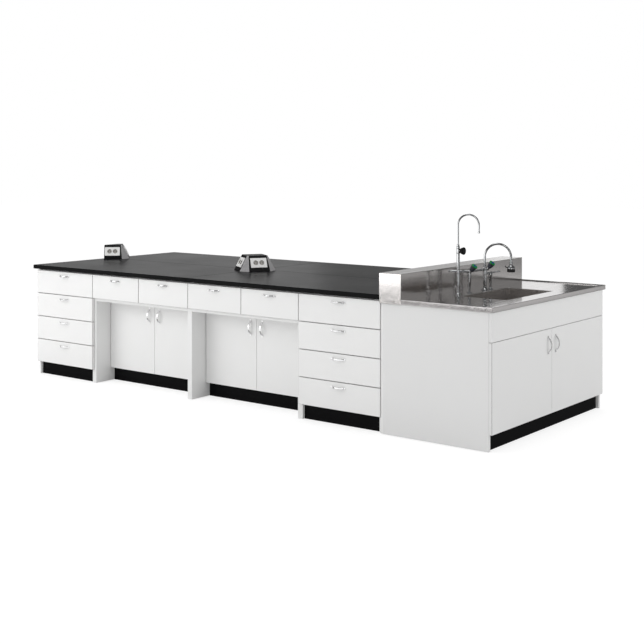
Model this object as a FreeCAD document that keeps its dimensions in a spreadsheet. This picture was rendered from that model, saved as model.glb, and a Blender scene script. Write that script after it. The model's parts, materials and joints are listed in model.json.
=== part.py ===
import FreeCAD, Part
import os
import re

# Lab island bench with a sink unit at one end, in millimetres, +Z up.
# The origin is on the floor under the middle of the whole bench.
# +X runs along the bench towards the sink, and the front drawers face -Y.

X_AXIS = FreeCAD.Vector(1, 0, 0)
Y_AXIS = FreeCAD.Vector(0, 1, 0)
Z_AXIS = FreeCAD.Vector(0, 0, 1)

doc = FreeCAD.newDocument("lab_island_bench")
sheet = doc.addObject("Spreadsheet::Sheet", "Sizes")

# Every driving size, in millimetres; the slope of the power boxes is in degrees.
SIZES = {
    # worktop: four slabs that meet in a cross-shaped joint
    "bench_height": 850,
    "worktop_thickness": 30,
    "worktop_front_overhang": 20,
    "worktop_end_overhang": 25,
    "slab_joint": 0.6,
    # bench cabinets, back to back across a service space
    "island_depth": 1500,
    "stack_width": 640,
    "desk_width": 985,
    "spine_width": 100,
    "panel_thickness": 20,
    "back_thickness": 10,
    "rail_depth": 80,
    "floor_gap": 3,
    "kick_height": 100,
    "kick_setback": 40,
    "kick_thickness": 18,
    "knee_depth": 160,
    # drawer fronts and doors
    "front_thickness": 20,
    "front_gap": 3,
    "front_clearance": 0.3,
    "top_reveal": 8,
    # drawer boxes and their runners
    "box_back_inset": 70,
    "box_height": 120,
    "box_board": 12,
    "box_floor": 6,
    "box_floor_lift": 8,
    "box_lift": 24,
    "runner_width": 13,
    "runner_gap": 0.3,
    "runner_slide": 5,
    "runner_slide_height": 34,
    "runner_rail_height": 45,
    "runner_back_inset": 40,
    # bow handles
    "handle_length": 112,
    "handle_chord": 98,
    "handle_projection": 27,
    "handle_bar": 6,
    "handle_width": 12,
    "handle_tab": 3,
    "drawer_handle_drop": 33,
    "door_handle_inset": 50,
    "desk_handle_drop": 86,
    "sink_handle_drop": 97,
    # cup hinges; the door turns on its rounded front edge
    "hinge_edge_radius": 2,
    "hinge_cup_radius": 17.5,
    "hinge_cup_fit": 0.2,
    "hinge_cup_depth": 12,
    "hinge_cup_inset": 24,
    "hinge_end_inset": 90,
    "hinge_plate_thickness": 12,
    "hinge_plate_length": 60,
    "hinge_plate_height": 24,
    # levelling feet
    "foot_pad_radius": 22,
    "foot_pad_height": 8,
    "foot_stem_radius": 5,
    "foot_inset": 60,
    # sink unit across the end of the bench
    "sink_gap": 20,
    "gap_filler_setback": 5,
    "gap_filler_depth": 60,
    "sink_depth": 750,
    "sink_deck_height": 830,
    "deck_thickness": 30,
    "deck_overhang": 14,
    "deck_rim": 22,
    "deck_recess": 6,
    "apron_bottom": 628,
    "splash_thickness": 160,
    "splash_rise": 152,
    "splash_sheet": 2,
    "basin_start": 395,
    "basin_length": 620,
    "basin_front": 120,
    "tap_ledge": 42,
    "basin_drop": 240,
    "basin_sheet": 2,
    "deck_sheet": 2,
    "waste_radius": 20,
    "waste_fit": 0.5,
    "waste_flange_radius": 42,
    "waste_flange_height": 4,
    "waste_tail": 80,
    "trap_radius": 36,
    "trap_height": 110,
    "waste_pipe_radius": 16,
    # taps
    "tap_clearance": 110,
    "tap_gap": 26,
    "swan_tap_along": 798,
    "tap_bar_radius": 8,
    "nozzle_radius": 4.5,
    "swivel_fit": 0.05,
    "swivel_gap": 0.3,
    "swivel_depth": 20,
    "tall_flange_radius": 18,
    "tall_flange_height": 8,
    "tall_column_radius": 10.5,
    "tall_column_height": 305,
    "tall_bar_height": 146,
    "tall_bar_back": 62,
    "tall_bar_front": 76,
    "tall_pipe_radius": 5.5,
    "tall_spigot_radius": 5,
    "tall_collar_radius": 8,
    "tall_collar_height": 12,
    "tall_spring_height": 437,
    "tall_arch_radius": 64.5,
    "tall_drop": 52,
    "needle_height": 275,
    "needle_boss_radius": 6,
    "needle_boss_length": 15,
    "needle_stem_radius": 4,
    "needle_stem_length": 16,
    "needle_knob_base_radius": 10,
    "needle_knob_radius": 24,
    "needle_knob_length": 30,
    "swan_flange_radius": 22,
    "swan_flange_height": 10,
    "swan_column_radius": 12,
    "swan_column_height": 150,
    "swan_bar_height": 106,
    "swan_bar_front": 88,
    "swan_nozzle_length": 112,
    "swan_leg_reach": 72,
    "swan_knob_reach": 14,
    "swan_knob_height": 130,
    "manifold_height": 134,
    "side_valve_reach": 198,
    "side_valve_end": 34,
    "side_knob_height": 124,
    "leg_flange_radius": 17,
    "leg_flange_height": 6,
    "leg_foot_radius": 8,
    "leg_head_radius": 14,
    "swan_pipe_radius": 7,
    "swan_spigot_radius": 6,
    "swan_collar_radius": 11,
    "swan_collar_height": 12,
    "swan_spring_height": 215,
    "swan_arch_radius": 84,
    "swan_drop": 45,
    "spray_radius": 26,
    "spray_height": 52,
    "knob_boss_radius": 9,
    "knob_boss_height": 22,
    "knob_stem_radius": 4.5,
    "knob_stem_length": 14,
    "knob_base_radius": 15,
    "knob_radius": 20,
    "knob_length": 36,
    "knob_ring_height": 6,
    "knob_disc_radius": 10,
    "knob_disc_height": 1.5,
    # power boxes on the worktop
    "power_forward": 43,
    "power_end_back": 31,
    "power_height": 112,
    "power_top_half": 78,
    "power_slope": 28,
    "power_corner_cut": 58,
    "power_corner_top": 10,
    "power_corner_skin": 3,
    "power_shell_wall": 5,
    "power_end_half": 66,
    "power_end_depth": 20,
    "plate_width": 122,
    "plate_height": 75,
    "plate_thickness": 8,
    "plate_sink": 4,
    "plate_lift": 31,
    "socket_radius": 18.5,
    "socket_depth": 6,
    "socket_spacing": 45,
}
DRAWER_ROWS = 4
KNOB_TILT = 40
TAP_TURN = 30
ROW_TURN = 90 - TAP_TURN
END_BOX_TURN = 45
MIDDLE_BOX_TURN = 57
END_FACE_TURNS = (0, 90)
MIDDLE_FACE_TURNS = (0, 90, 180, 270)

for row, (alias, value) in enumerate(SIZES.items(), start=1):
    cell = "B%d" % row
    sheet.set("A%d" % row, alias.replace("_", " "))
    sheet.set(cell, str(value))
    sheet.setAlias(cell, alias)
doc.recompute()

# Places worked out from the driving sizes.
LAYOUT = {
    "bench_length": "2 * stack_width + 2 * desk_width",
    "cabinet_depth": "(island_depth - spine_width) / 2",
    "sink_width": "island_depth",
    "overall_length": "worktop_end_overhang + bench_length + sink_gap + sink_depth + handle_projection",
    "bench_left": "worktop_end_overhang - overall_length / 2",
    "bench_right": "bench_left + bench_length",
    "bench_middle": "bench_left + bench_length / 2",
    "sink_face": "bench_right + sink_gap + sink_depth",
    "carcass_top": "bench_height - worktop_thickness",
    "panel_front": "front_thickness + front_clearance",
    "back_face": "cabinet_depth - back_thickness",
    "drawer_pitch": "(carcass_top - top_reveal - kick_height) / %d" % DRAWER_ROWS,
    "top_row": "kick_height + drawer_pitch * %d" % (DRAWER_ROWS - 1),
    "box_length": "back_face - front_thickness - box_back_inset",
    "runner_length": "box_length - runner_back_inset",
    "rail_bar": "runner_width - runner_slide - runner_gap",
    "runner_centre": "box_lift + box_height / 2",
    "desk_front": "knee_depth + panel_front",
    "desk_door_width": "desk_width / 2 - panel_thickness - 1.5 * front_gap",
    "desk_door_height": "top_row - panel_thickness - kick_height - 1.5 * front_gap",
    "sink_door_width": "sink_width / 2 - front_gap",
    "sink_door_height": "apron_bottom - kick_height - 1.5 * front_gap",
    "deck_bottom": "sink_deck_height - deck_thickness",
    "deck_floor": "sink_deck_height - deck_recess",
    "deck_back": "sink_depth + sink_gap - splash_thickness",
    "deck_span": "sink_width + 2 * deck_overhang",
    "tap_setback": "deck_back - tap_clearance",
    "basin_width": "tap_setback - basin_front - tap_ledge",
    "tall_tap_along": "swan_tap_along - side_valve_reach - side_valve_end - tap_gap - tall_bar_front",
    "basin_floor": "deck_floor - basin_drop",
    "handle_radius": "(handle_chord * handle_chord / 4 + handle_projection * handle_projection)"
                     " / (2 * handle_projection)",
    "power_base_half": "power_top_half + power_height * tan(power_slope * 1 deg)",
}


def formula(text):
    """Writes out the named places until only sheet cells are left."""
    def swap(match):
        word = match.group(0)
        if word in LAYOUT:
            return "(" + formula(LAYOUT[word]) + ")"
        if word in SIZES:
            return "Sizes." + word
        return word
    return re.sub(r"[a-z][a-z_]*", swap, text)


def place(piece, corner, axis=Z_AXIS, angle=0):
    """Turns a piece by a fixed angle and ties its position to the sheet."""
    piece.Placement = FreeCAD.Placement(FreeCAD.Vector(), FreeCAD.Rotation(axis, angle))
    for letter, text in zip("xyz", corner):
        piece.setExpression("Placement.Base." + letter, formula(text))
    return piece


def bind(piece, **texts):
    for name, text in texts.items():
        piece.setExpression(name, formula(text))
    return piece


def board(name, size, corner):
    """A straight board or bar: length, width and height from its low corner."""
    box = doc.addObject("Part::Box", name)
    bind(box, Length=size[0], Width=size[1], Height=size[2])
    return place(box, corner)


def rod(name, radius, length, start, axis=Z_AXIS, angle=0):
    """A round bar that starts at a point; unturned it stands along +Z."""
    cylinder = doc.addObject("Part::Cylinder", name)
    bind(cylinder, Radius=radius, Height=length)
    return place(cylinder, start, axis, angle)


def cone(name, low_radius, high_radius, length, start, axis=Z_AXIS, angle=0):
    piece = doc.addObject("Part::Cone", name)
    bind(piece, Radius1=low_radius, Radius2=high_radius, Height=length)
    return place(piece, start, axis, angle)


def fused(name, pieces):
    fuse = doc.addObject("Part::MultiFuse", name)
    fuse.Shapes = pieces
    fuse.Refine = True
    return fuse


def cut(name, base, tools):
    result = doc.addObject("Part::Cut", name)
    result.Base = base
    result.Tool = tools[0] if len(tools) == 1 else group(name + "_tools", tools)
    return result


def common(name, base, tool):
    result = doc.addObject("Part::Common", name)
    result.Base = base
    result.Tool = tool
    return result


def group(name, pieces):
    node = doc.addObject("Part::Compound", name)
    node.Links = pieces
    return node


def copy_at(name, pieces, corner, axis=Z_AXIS, angle=0):
    """Puts a copy of some pieces at a station, keeping them separate solids."""
    return place(group(name, pieces), corner, axis, angle)


ORIGIN = ("0", "0", "0")

# A bow handle: an arched bar with a flat tab at each end, lying along X, with its back on y = 0.
bow_outer = rod("bow_outer", "handle_radius", "handle_width",
                ("0", "handle_radius - handle_projection", "-handle_width / 2"))
bow_inner = rod("bow_inner", "handle_radius - handle_bar", "handle_width",
                ("0", "handle_radius - handle_projection", "-handle_width / 2"))
bow_window = board("bow_window", ("handle_length", "handle_projection", "handle_width"),
                   ("-handle_length / 2", "-handle_projection", "-handle_width / 2"))
bow = common("bow", cut("bow_ring", bow_outer, [bow_inner]), bow_window)
tab_length = "(handle_length - handle_chord) / 2 + handle_bar"
handle_tabs = [board("handle_tab", (tab_length, "handle_tab", "handle_width"),
                     (start, "-handle_tab", "-handle_width / 2"))
               for start in ("-handle_length / 2", "handle_length / 2 - (%s)" % tab_length)]
handle = fused("handle", [bow] + handle_tabs)


def drawer(name, cell_left, cell_right, open_left, open_right):
    """Front, box, runner slides and handle of a drawer, with z = 0 at the foot of its row."""
    low = "box_lift"
    left = "%s + runner_width" % open_left
    right = "%s - runner_width" % open_right
    inside = "(%s) - (%s) - 2 * box_board" % (right, left)
    front = board(name + "_front",
                  ("%s - (%s) - front_gap" % (cell_right, cell_left), "front_thickness",
                   "drawer_pitch - front_gap"),
                  ("%s + front_gap / 2" % cell_left, "0", "front_gap / 2"))
    sides = [board(name + "_side", ("box_board", "box_length", "box_height"), (x, "front_thickness", low))
             for x in (left, "%s - box_board" % right)]
    ends = [board(name + "_end", (inside, "box_board", "box_height"), ("%s + box_board" % left, y, low))
            for y in ("front_thickness", "front_thickness + box_length - box_board")]
    floor = board(name + "_floor", (inside, "box_length - 2 * box_board", "box_floor"),
                  ("%s + box_board" % left, "front_thickness + box_board", "%s + box_floor_lift" % low))
    slides = [board(name + "_slide", ("runner_slide", "runner_length", "runner_slide_height"),
                    (x, "panel_front", "runner_centre - runner_slide_height / 2"))
              for x in ("%s - runner_slide" % left, right)]
    grip = copy_at(name + "_handle", [handle],
                   ("(%s + %s) / 2" % (cell_left, cell_right), "0",
                    "drawer_pitch - front_gap / 2 - drawer_handle_drop"))
    return [front] + sides + ends + [floor] + slides + [grip]


def door(name, width, height, hinge_on_left, cup_inset, handle_drop):
    """A door with a rounded hinge edge, two hinge cups and an upright handle."""
    edge = "hinge_edge_radius"
    far = "%s - hinge_edge_radius" % width
    slab = board(name + "_slab", (far, "front_thickness", height), (edge if hinge_on_left else "0", "0", "0"))
    lip = board(name + "_lip", (edge, "front_thickness - hinge_edge_radius", height),
                ("0" if hinge_on_left else far, edge, "0"))
    bead = rod(name + "_bead", edge, height, (edge if hinge_on_left else far, edge, "0"))
    cup_x = cup_inset if hinge_on_left else "%s - (%s)" % (width, cup_inset)
    cup_heights = ("hinge_end_inset", "%s - hinge_end_inset" % height)
    pockets = [rod(name + "_pocket", "hinge_cup_radius + hinge_cup_fit", "hinge_cup_depth",
                   (cup_x, "front_thickness - hinge_cup_depth", z), X_AXIS, -90) for z in cup_heights]
    cups = [rod(name + "_cup", "hinge_cup_radius", "hinge_cup_depth",
                (cup_x, "front_thickness - hinge_cup_depth", z), X_AXIS, -90) for z in cup_heights]
    leaf = cut(name + "_leaf", fused(name + "_blank", [slab, lip, bead]), pockets)
    handle_x = "%s - door_handle_inset" % width if hinge_on_left else "door_handle_inset"
    grip = copy_at(name + "_handle", [handle], (handle_x, "0", "%s - %s" % (height, handle_drop)), Y_AXIS, 90)
    return [leaf] + cups + [grip]


# One levelling foot: a round pad on the floor and a stem up to the cabinet bottom.
foot = [rod("foot_pad", "foot_pad_radius", "foot_pad_height", ORIGIN),
        rod("foot_stem", "foot_stem_radius", "kick_height - foot_pad_height", ("0", "0", "foot_pad_height"))]


def feet(name, width, front, back):
    spots = [(x, y) for x in ("panel_thickness + foot_inset", "%s - panel_thickness - foot_inset" % width)
             for y in ("%s + kick_setback + foot_inset" % front, "%s - foot_inset" % back)]
    return [copy_at(name + "_foot", foot, (x, y, "0")) for x, y in spots]


def runner_rails(name, inner_faces, row_foot):
    """The fixed rails of one drawer, on the two faces that the drawer runs between."""
    left, right = inner_faces
    return [board(name + "_rail", ("rail_bar", "runner_length", "runner_rail_height"),
                  (x, "panel_front", "%s + runner_centre - runner_rail_height / 2" % row_foot))
            for x in (left, "%s - (rail_bar)" % right)]


def hinge_plates(name, inner_faces, front, door_foot, door_height):
    left, right = inner_faces
    size = ("hinge_plate_thickness", "hinge_plate_length", "hinge_plate_height")
    return [board(name + "_hinge_plate", size,
                  (x, front, "%s + %s - hinge_plate_height / 2" % (door_foot, z)))
            for x in (left, "%s - hinge_plate_thickness" % right)
            for z in ("hinge_end_inset", "%s - hinge_end_inset" % door_height)]


def cabinet(name, width, front):
    """The boards that every bench cabinet has; front is where its bottom board starts."""
    inside = "%s - 2 * panel_thickness" % width
    shelf_z = "carcass_top - panel_thickness"
    return {
        "side_panels": [
            board(name + "_side",
                  ("panel_thickness", "cabinet_depth - panel_front", "carcass_top - floor_gap"),
                  (x, "panel_front", "floor_gap"))
            for x in ("0", "%s - panel_thickness" % width)],
        "cabinet_bottoms": [
            board(name + "_bottom", (inside, "back_face - (%s)" % front, "panel_thickness"),
                  ("panel_thickness", front, "kick_height"))],
        "cabinet_backs": [
            board(name + "_back", (inside, "back_thickness", "carcass_top - kick_height"),
                  ("panel_thickness", "back_face", "kick_height"))],
        "top_rails": [
            board(name + "_top_rail", (inside, "rail_depth", "panel_thickness"),
                  ("panel_thickness", y, shelf_z))
            for y in ("panel_front", "back_face - rail_depth")],
        "kick_boards": [
            board(name + "_kick", (inside, "kick_thickness", "kick_height - floor_gap"),
                  ("panel_thickness", "%s - panel_front + kick_setback" % front, "floor_gap"))],
        "levelling_feet": feet(name, width, "%s - panel_front" % front, "back_face"),
    }


# A stack of four drawers.
stack_faces = ("panel_thickness", "stack_width - panel_thickness")
stack = cabinet("stack", "stack_width", "panel_front")
stack["drawer_runners"] = [
    rail for row in range(DRAWER_ROWS)
    for rail in runner_rails("stack", stack_faces, "kick_height + drawer_pitch * %d" % row)]
stack_drawer = drawer("stack_drawer", "0", "stack_width", *stack_faces)

# A desk: two drawers side by side over a knee space with a recessed two-door cupboard.
desk_middle = "desk_width / 2"
desk_faces = ("panel_thickness", "desk_width - panel_thickness")
left_bay = ("panel_thickness", "(%s - panel_thickness / 2)" % desk_middle)
right_bay = ("(%s + panel_thickness / 2)" % desk_middle, "desk_width - panel_thickness")
desk = cabinet("desk", "desk_width", "desk_front")
desk["desk_drawer_frames"] = [
    board("desk_drawer_floor",
          ("desk_width - 2 * panel_thickness", "back_face - panel_front", "panel_thickness"),
          ("panel_thickness", "panel_front", "top_row - panel_thickness")),
    board("desk_divider",
          ("panel_thickness", "back_face - panel_front", "carcass_top - panel_thickness - (top_row)"),
          ("%s - panel_thickness / 2" % desk_middle, "panel_front", "top_row"))]
desk["drawer_runners"] = [
    rail for bay in (left_bay, right_bay) for rail in runner_rails("desk", bay, "top_row")]
desk["hinge_plates"] = hinge_plates(
    "desk", desk_faces, "desk_front", "kick_height + front_gap / 2", "desk_door_height")
desk_drawers = {
    "left": drawer("desk_left_drawer", "0", desk_middle, *left_bay),
    "right": drawer("desk_right_drawer", desk_middle, "desk_width", *right_bay)}
desk_doors = {
    side: door("desk_%s_door" % side, "desk_door_width", "desk_door_height", side == "left",
               "hinge_cup_inset", "desk_handle_drop") for side in ("left", "right")}
desk_door_starts = {"left": "panel_thickness + front_gap", "right": "%s + front_gap / 2" % desk_middle}

# Stations of the bench cabinets. The back row is the front row turned half round.
FRONT_ROW = [("left_stack", stack, "0"),
             ("left_desk", desk, "stack_width"),
             ("right_desk", desk, "stack_width + desk_width"),
             ("right_stack", stack, "stack_width + 2 * desk_width")]
SIDES = {"front": (1, 0), "back": (-1, 180)}
nodes = {}
fixed = {}


def add_fixed(node, piece):
    fixed.setdefault(node, []).append(piece)


def station(sign, offset, inward, height):
    """Where a point of a cabinet row lies in the bench frame."""
    if sign > 0:
        return ("bench_left + %s" % offset, "(%s) - island_depth / 2" % inward, height)
    return ("bench_right - (%s)" % offset, "island_depth / 2 - (%s)" % inward, height)


for side, (sign, turn) in SIDES.items():
    for unit_name, unit, offset in FRONT_ROW:
        unit_label = "%s_%s" % (side, unit_name)
        for node, pieces in unit.items():
            add_fixed(node, copy_at("%s_%s" % (unit_label, node), pieces, station(sign, offset, "0", "0"),
                                    Z_AXIS, turn))
        if unit is stack:
            for row in range(DRAWER_ROWS):
                label = "%s_drawer_%d" % (unit_label, DRAWER_ROWS - row)
                height = "kick_height + drawer_pitch * %d" % row
                nodes[label] = copy_at(label, stack_drawer, station(sign, offset, "0", height), Z_AXIS, turn)
        else:
            for hand in ("left", "right"):
                label = "%s_drawer_%s" % (unit_label, hand)
                nodes[label] = copy_at(label, desk_drawers[hand], station(sign, offset, "0", "top_row"),
                                       Z_AXIS, turn)
                label = "%s_door_%s" % (unit_label, hand)
                corner = station(sign, "%s + %s" % (offset, desk_door_starts[hand]), "knee_depth",
                                 "kick_height + front_gap / 2")
                nodes[label] = copy_at(label, desk_doors[hand], corner, Z_AXIS, turn)

# Filler boards close the service space between the two rows at each end.
for x in ("bench_left", "bench_right - panel_thickness"):
    filler = board("end_filler", ("panel_thickness", "spine_width", "carcass_top - floor_gap"),
                   (x, "-spine_width / 2", "floor_gap"))
    add_fixed("side_panels", filler)

# Narrow filler strips close the joint between the bench and the sink unit on both sides.
for y in ("gap_filler_setback - island_depth / 2",
          "island_depth / 2 - gap_filler_setback - gap_filler_depth"):
    strip = board("gap_filler", ("sink_gap - 2 * front_clearance", "gap_filler_depth",
                                 "deck_bottom - front_gap - floor_gap"),
                  ("bench_right + front_clearance", y, "floor_gap"))
    add_fixed("side_panels", strip)

# Worktop slabs, two along and two across, with a narrow joint between them.
slab_depth = "island_depth / 2 + worktop_front_overhang - slab_joint / 2"
half_length = "bench_length / 2 - slab_joint / 2"
SLAB_RUNS = (("bench_left - worktop_end_overhang", "%s + worktop_end_overhang" % half_length),
             ("bench_middle + slab_joint / 2", half_length))
for x, length in SLAB_RUNS:
    for y in ("-island_depth / 2 - worktop_front_overhang", "slab_joint / 2"):
        add_fixed("worktop_slabs", board("worktop_slab", (length, slab_depth, "worktop_thickness"),
                                         (x, y, "carcass_top")))

# Sink cabinet, drawn with x along its doors and y going in from the door faces.
sink_inside = "sink_width - 2 * panel_thickness"
sink_faces = ("panel_thickness", "sink_width - panel_thickness")
sink = {
    "sink_cabinet_boards": [
        board("sink_side", ("panel_thickness", "sink_depth - panel_front", "deck_bottom - floor_gap"),
              (x, "panel_front", "floor_gap")) for x in ("0", "sink_width - panel_thickness")] + [
        board("sink_bottom", (sink_inside, "sink_depth - panel_front - panel_thickness", "panel_thickness"),
              ("panel_thickness", "panel_front", "kick_height")),
        board("sink_back", (sink_inside, "panel_thickness", "deck_bottom - kick_height"),
              ("panel_thickness", "sink_depth - panel_thickness", "kick_height")),
        board("sink_front_rail", (sink_inside, "panel_thickness", "deck_bottom - apron_bottom"),
              ("panel_thickness", "panel_front", "apron_bottom"))],
    "sink_apron": [
        board("sink_apron_board", ("sink_width - front_gap", "panel_front", "deck_bottom - apron_bottom"),
              ("front_gap / 2", "0", "apron_bottom"))],
    "kick_boards": [
        board("sink_kick", (sink_inside, "kick_thickness", "kick_height - floor_gap"),
              ("panel_thickness", "kick_setback", "floor_gap"))],
    "levelling_feet": feet("sink", "sink_width", "0", "sink_depth"),
    "hinge_plates": hinge_plates("sink", sink_faces, "panel_front", "kick_height + front_gap / 2",
                                 "sink_door_height"),
}

# Stainless top: a folded deck with a raised rim on a core board, a welded basin and a hollow splash back.
deck_slab = board("deck_slab", ("deck_span", "deck_back + deck_overhang", "deck_thickness"),
                  ("-deck_overhang", "-deck_overhang", "deck_bottom"))
deck_dish = board("deck_dish",
                  ("deck_span - 2 * deck_rim", "deck_back + deck_overhang - deck_rim", "deck_recess"),
                  ("deck_rim - deck_overhang", "deck_rim - deck_overhang", "deck_floor"))
basin_mouth = board("basin_mouth", ("basin_length", "basin_width", "deck_thickness"),
                    ("basin_start", "basin_front", "deck_bottom"))
core_size = ("deck_span - 2 * deck_sheet", "deck_back + deck_overhang - deck_sheet",
             "deck_floor - deck_sheet - (deck_bottom)")
core_corner = ("deck_sheet - deck_overhang", "deck_sheet - deck_overhang", "deck_bottom")
deck_core = board("deck_core", core_size, core_corner)
sink["sink_deck"] = [cut("deck_fold", deck_slab, [deck_dish, basin_mouth, deck_core])]
sink["sink_cabinet_boards"].append(cut("deck_core_board", deck_core, [basin_mouth]))
basin_outer = board("basin_outer", ("basin_length", "basin_width", "basin_drop"),
                    ("basin_start", "basin_front", "basin_floor"))
basin_inner = board("basin_inner",
                    ("basin_length - 2 * basin_sheet", "basin_width - 2 * basin_sheet",
                     "basin_drop - basin_sheet"),
                    ("basin_start + basin_sheet", "basin_front + basin_sheet", "basin_floor + basin_sheet"))
drain_spot = ("basin_start + basin_length / 2", "basin_front + basin_width / 2")
drain_hole = rod("drain_hole", "waste_radius + waste_fit", "basin_sheet", drain_spot + ("basin_floor",))
sink["sink_basin"] = [cut("basin_shell", basin_outer, [basin_inner, drain_hole])]
splash_low = ("-deck_overhang", "deck_back", "deck_bottom")
splash_skin = board("splash_skin", ("deck_span", "splash_thickness", "splash_rise + deck_thickness"),
                    splash_low)
splash_hollow = board("splash_hollow",
                      ("deck_span - 2 * splash_sheet", "splash_thickness - 2 * splash_sheet",
                       "splash_rise + deck_thickness - splash_sheet"),
                      ("splash_sheet - deck_overhang", "deck_back + splash_sheet", "deck_bottom"))
sink["splash_back"] = [cut("splash_shell", splash_skin, [splash_hollow])]

# Waste under the basin: strainer flange, tail pipe, bottle trap and the pipe to the back board.
trap_top = "basin_floor - waste_tail"
waste_outlet = "%s - trap_height / 3" % trap_top
sink["sink_waste"] = [fused("waste", [
    cut("waste_flange", rod("waste_flange_disc", "waste_flange_radius", "waste_flange_height",
                            drain_spot + ("basin_floor + basin_sheet",)),
        [rod("waste_mouth", "waste_radius - waste_flange_height", "waste_flange_height",
             drain_spot + ("basin_floor + basin_sheet",))]),
    cut("waste_tail_pipe", rod("waste_tail_outer", "waste_radius", "waste_tail + basin_sheet",
                               drain_spot + (trap_top,)),
        [rod("waste_tail_bore", "waste_radius - waste_flange_height", "waste_tail + basin_sheet",
             drain_spot + (trap_top,))]),
    rod("trap_cup", "trap_radius", "trap_height", drain_spot + ("%s - trap_height" % trap_top,)),
    rod("waste_pipe", "waste_pipe_radius", "sink_depth - panel_thickness - (%s)" % drain_spot[1],
        drain_spot + (waste_outlet,), X_AXIS, -90)])]

sink_corner = ("sink_face", "-sink_width / 2", "0")
for node, pieces in sink.items():
    add_fixed(node, copy_at("sink_unit_" + node, pieces, sink_corner, Z_AXIS, 90))
sink_door_starts = {"left": "front_gap / 2", "right": "sink_width / 2 + front_gap / 2"}
for hand, start in sink_door_starts.items():
    label = "sink_door_" + hand
    leaf_pieces = door(label, "sink_door_width", "sink_door_height", hand == "left",
                       "panel_thickness + hinge_cup_inset", "sink_handle_drop")
    nodes[label] = copy_at(label, leaf_pieces, ("sink_face", "%s - sink_width / 2" % start,
                                                "kick_height + front_gap / 2"), Z_AXIS, 90)


def spout(name, pipe, spigot, collar_radius, collar_height, column, spring, arch, drop):
    """A swivelling swan neck: spigot, collar, riser, half ring and a short drop, arching along +X."""
    collar_foot = "%s + swivel_gap" % column
    ring = doc.addObject("Part::Torus", name + "_arch")
    bind(ring, Radius1=arch, Radius2=pipe)
    ring.Angle3 = 180
    place(ring, (arch, "0", spring), X_AXIS, 90)
    return fused(name + "_pipe", [
        rod(name + "_spigot", spigot, "swivel_depth", ("0", "0", "%s - swivel_depth" % collar_foot)),
        rod(name + "_collar", collar_radius, collar_height, ("0", "0", collar_foot)),
        rod(name + "_riser", pipe, "%s - (%s)" % (spring, collar_foot), ("0", "0", collar_foot)),
        ring,
        rod(name + "_drop", pipe, drop, ("2 * %s" % arch, "0", "%s - %s" % (spring, drop)))])


def knob(name):
    """A tapered knob with a cap ring and an index disc, standing on its stem along +Z."""
    foot_z = "knob_boss_height + swivel_gap"
    hub = cone(name + "_hub", "knob_base_radius", "knob_radius", "knob_length", ("0", "0", foot_z))
    bore = rod(name + "_bore", "knob_stem_radius + swivel_fit", "knob_stem_length + swivel_gap",
               ("0", "0", foot_z))
    top = "%s + knob_length" % foot_z
    ring = rod(name + "_ring", "knob_radius", "knob_ring_height", ("0", "0", top))
    disc = rod(name + "_disc", "knob_disc_radius", "knob_disc_height",
               ("0", "0", "%s + knob_ring_height" % top))
    return [cut(name + "_grip", hub, [bore]), ring, disc]


def valve(name, pieces, spot, tilt):
    """Tilts valve pieces from +Z, puts them on the tap and turns them to face the front of the sink."""
    return copy_at(name, [copy_at(name + "_tilted", pieces, ORIGIN, Y_AXIS, tilt)], spot, Z_AXIS, -TAP_TURN)


def knob_stem(name):
    """The boss and stem that a tap knob turns on, along +Z."""
    return fused(name, [
        rod(name + "_boss", "knob_boss_radius", "knob_boss_height", ORIGIN),
        rod(name + "_pin", "knob_stem_radius", "knob_boss_height + swivel_gap + knob_stem_length", ORIGIN)])


def swivel_socket(name, spigot, column):
    return rod(name, "%s + swivel_fit" % spigot, "swivel_depth + swivel_gap",
               ("0", "0", "%s - swivel_depth - swivel_gap" % column))


def on_row(along, height):
    """A spot at a distance along the row of taps, which stands parallel to the splash back."""
    return ("(%s) * cos(%d deg)" % (along, ROW_TURN), "(%s) * sin(%d deg)" % (along, ROW_TURN), height)


def leg(name, along, height):
    """A tapered leg that carries a bar of the swan-neck tap on the deck."""
    return [rod(name + "_flange", "leg_flange_radius", "leg_flange_height", on_row(along, "0")),
            cone(name + "_stem", "leg_foot_radius", "leg_head_radius", height, on_row(along, "0"))]


# Tall tap for pure water: column with a needle valve and a short cross bar.
tall_needle_spot = ("0", "0", "needle_height")
needle_stem = fused("needle_valve_stem", [
    rod("needle_boss", "needle_boss_radius", "needle_boss_length", ORIGIN),
    rod("needle_pin", "needle_stem_radius", "needle_boss_length + swivel_gap + needle_stem_length", ORIGIN)])
tall_body = cut("tall_body", fused("tall_casting", [
    rod("tall_flange", "tall_flange_radius", "tall_flange_height", ORIGIN),
    rod("tall_column", "tall_column_radius", "tall_column_height", ORIGIN),
    rod("tall_bar", "tap_bar_radius", "tall_bar_back + tall_bar_front",
        ("-tall_bar_back", "0", "tall_bar_height"), Y_AXIS, 90),
    valve("needle_stem_placed", [needle_stem], tall_needle_spot, 90)]),
    [swivel_socket("tall_socket", "tall_spigot_radius", "tall_column_height")])
tall_spout = spout("tall_spout", "tall_pipe_radius", "tall_spigot_radius", "tall_collar_radius",
                   "tall_collar_height", "tall_column_height", "tall_spring_height", "tall_arch_radius",
                   "tall_drop")
needle_foot = ("0", "0", "needle_boss_length + swivel_gap")
needle_grip = cut("needle_knob_grip",
                  cone("needle_knob_cone", "needle_knob_base_radius", "needle_knob_radius",
                       "needle_knob_length", needle_foot),
                  [rod("needle_knob_bore", "needle_stem_radius + swivel_fit",
                       "needle_stem_length + swivel_gap", needle_foot)])
needle_knob = valve("needle_knob_placed", [needle_grip], tall_needle_spot, 90)

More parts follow.
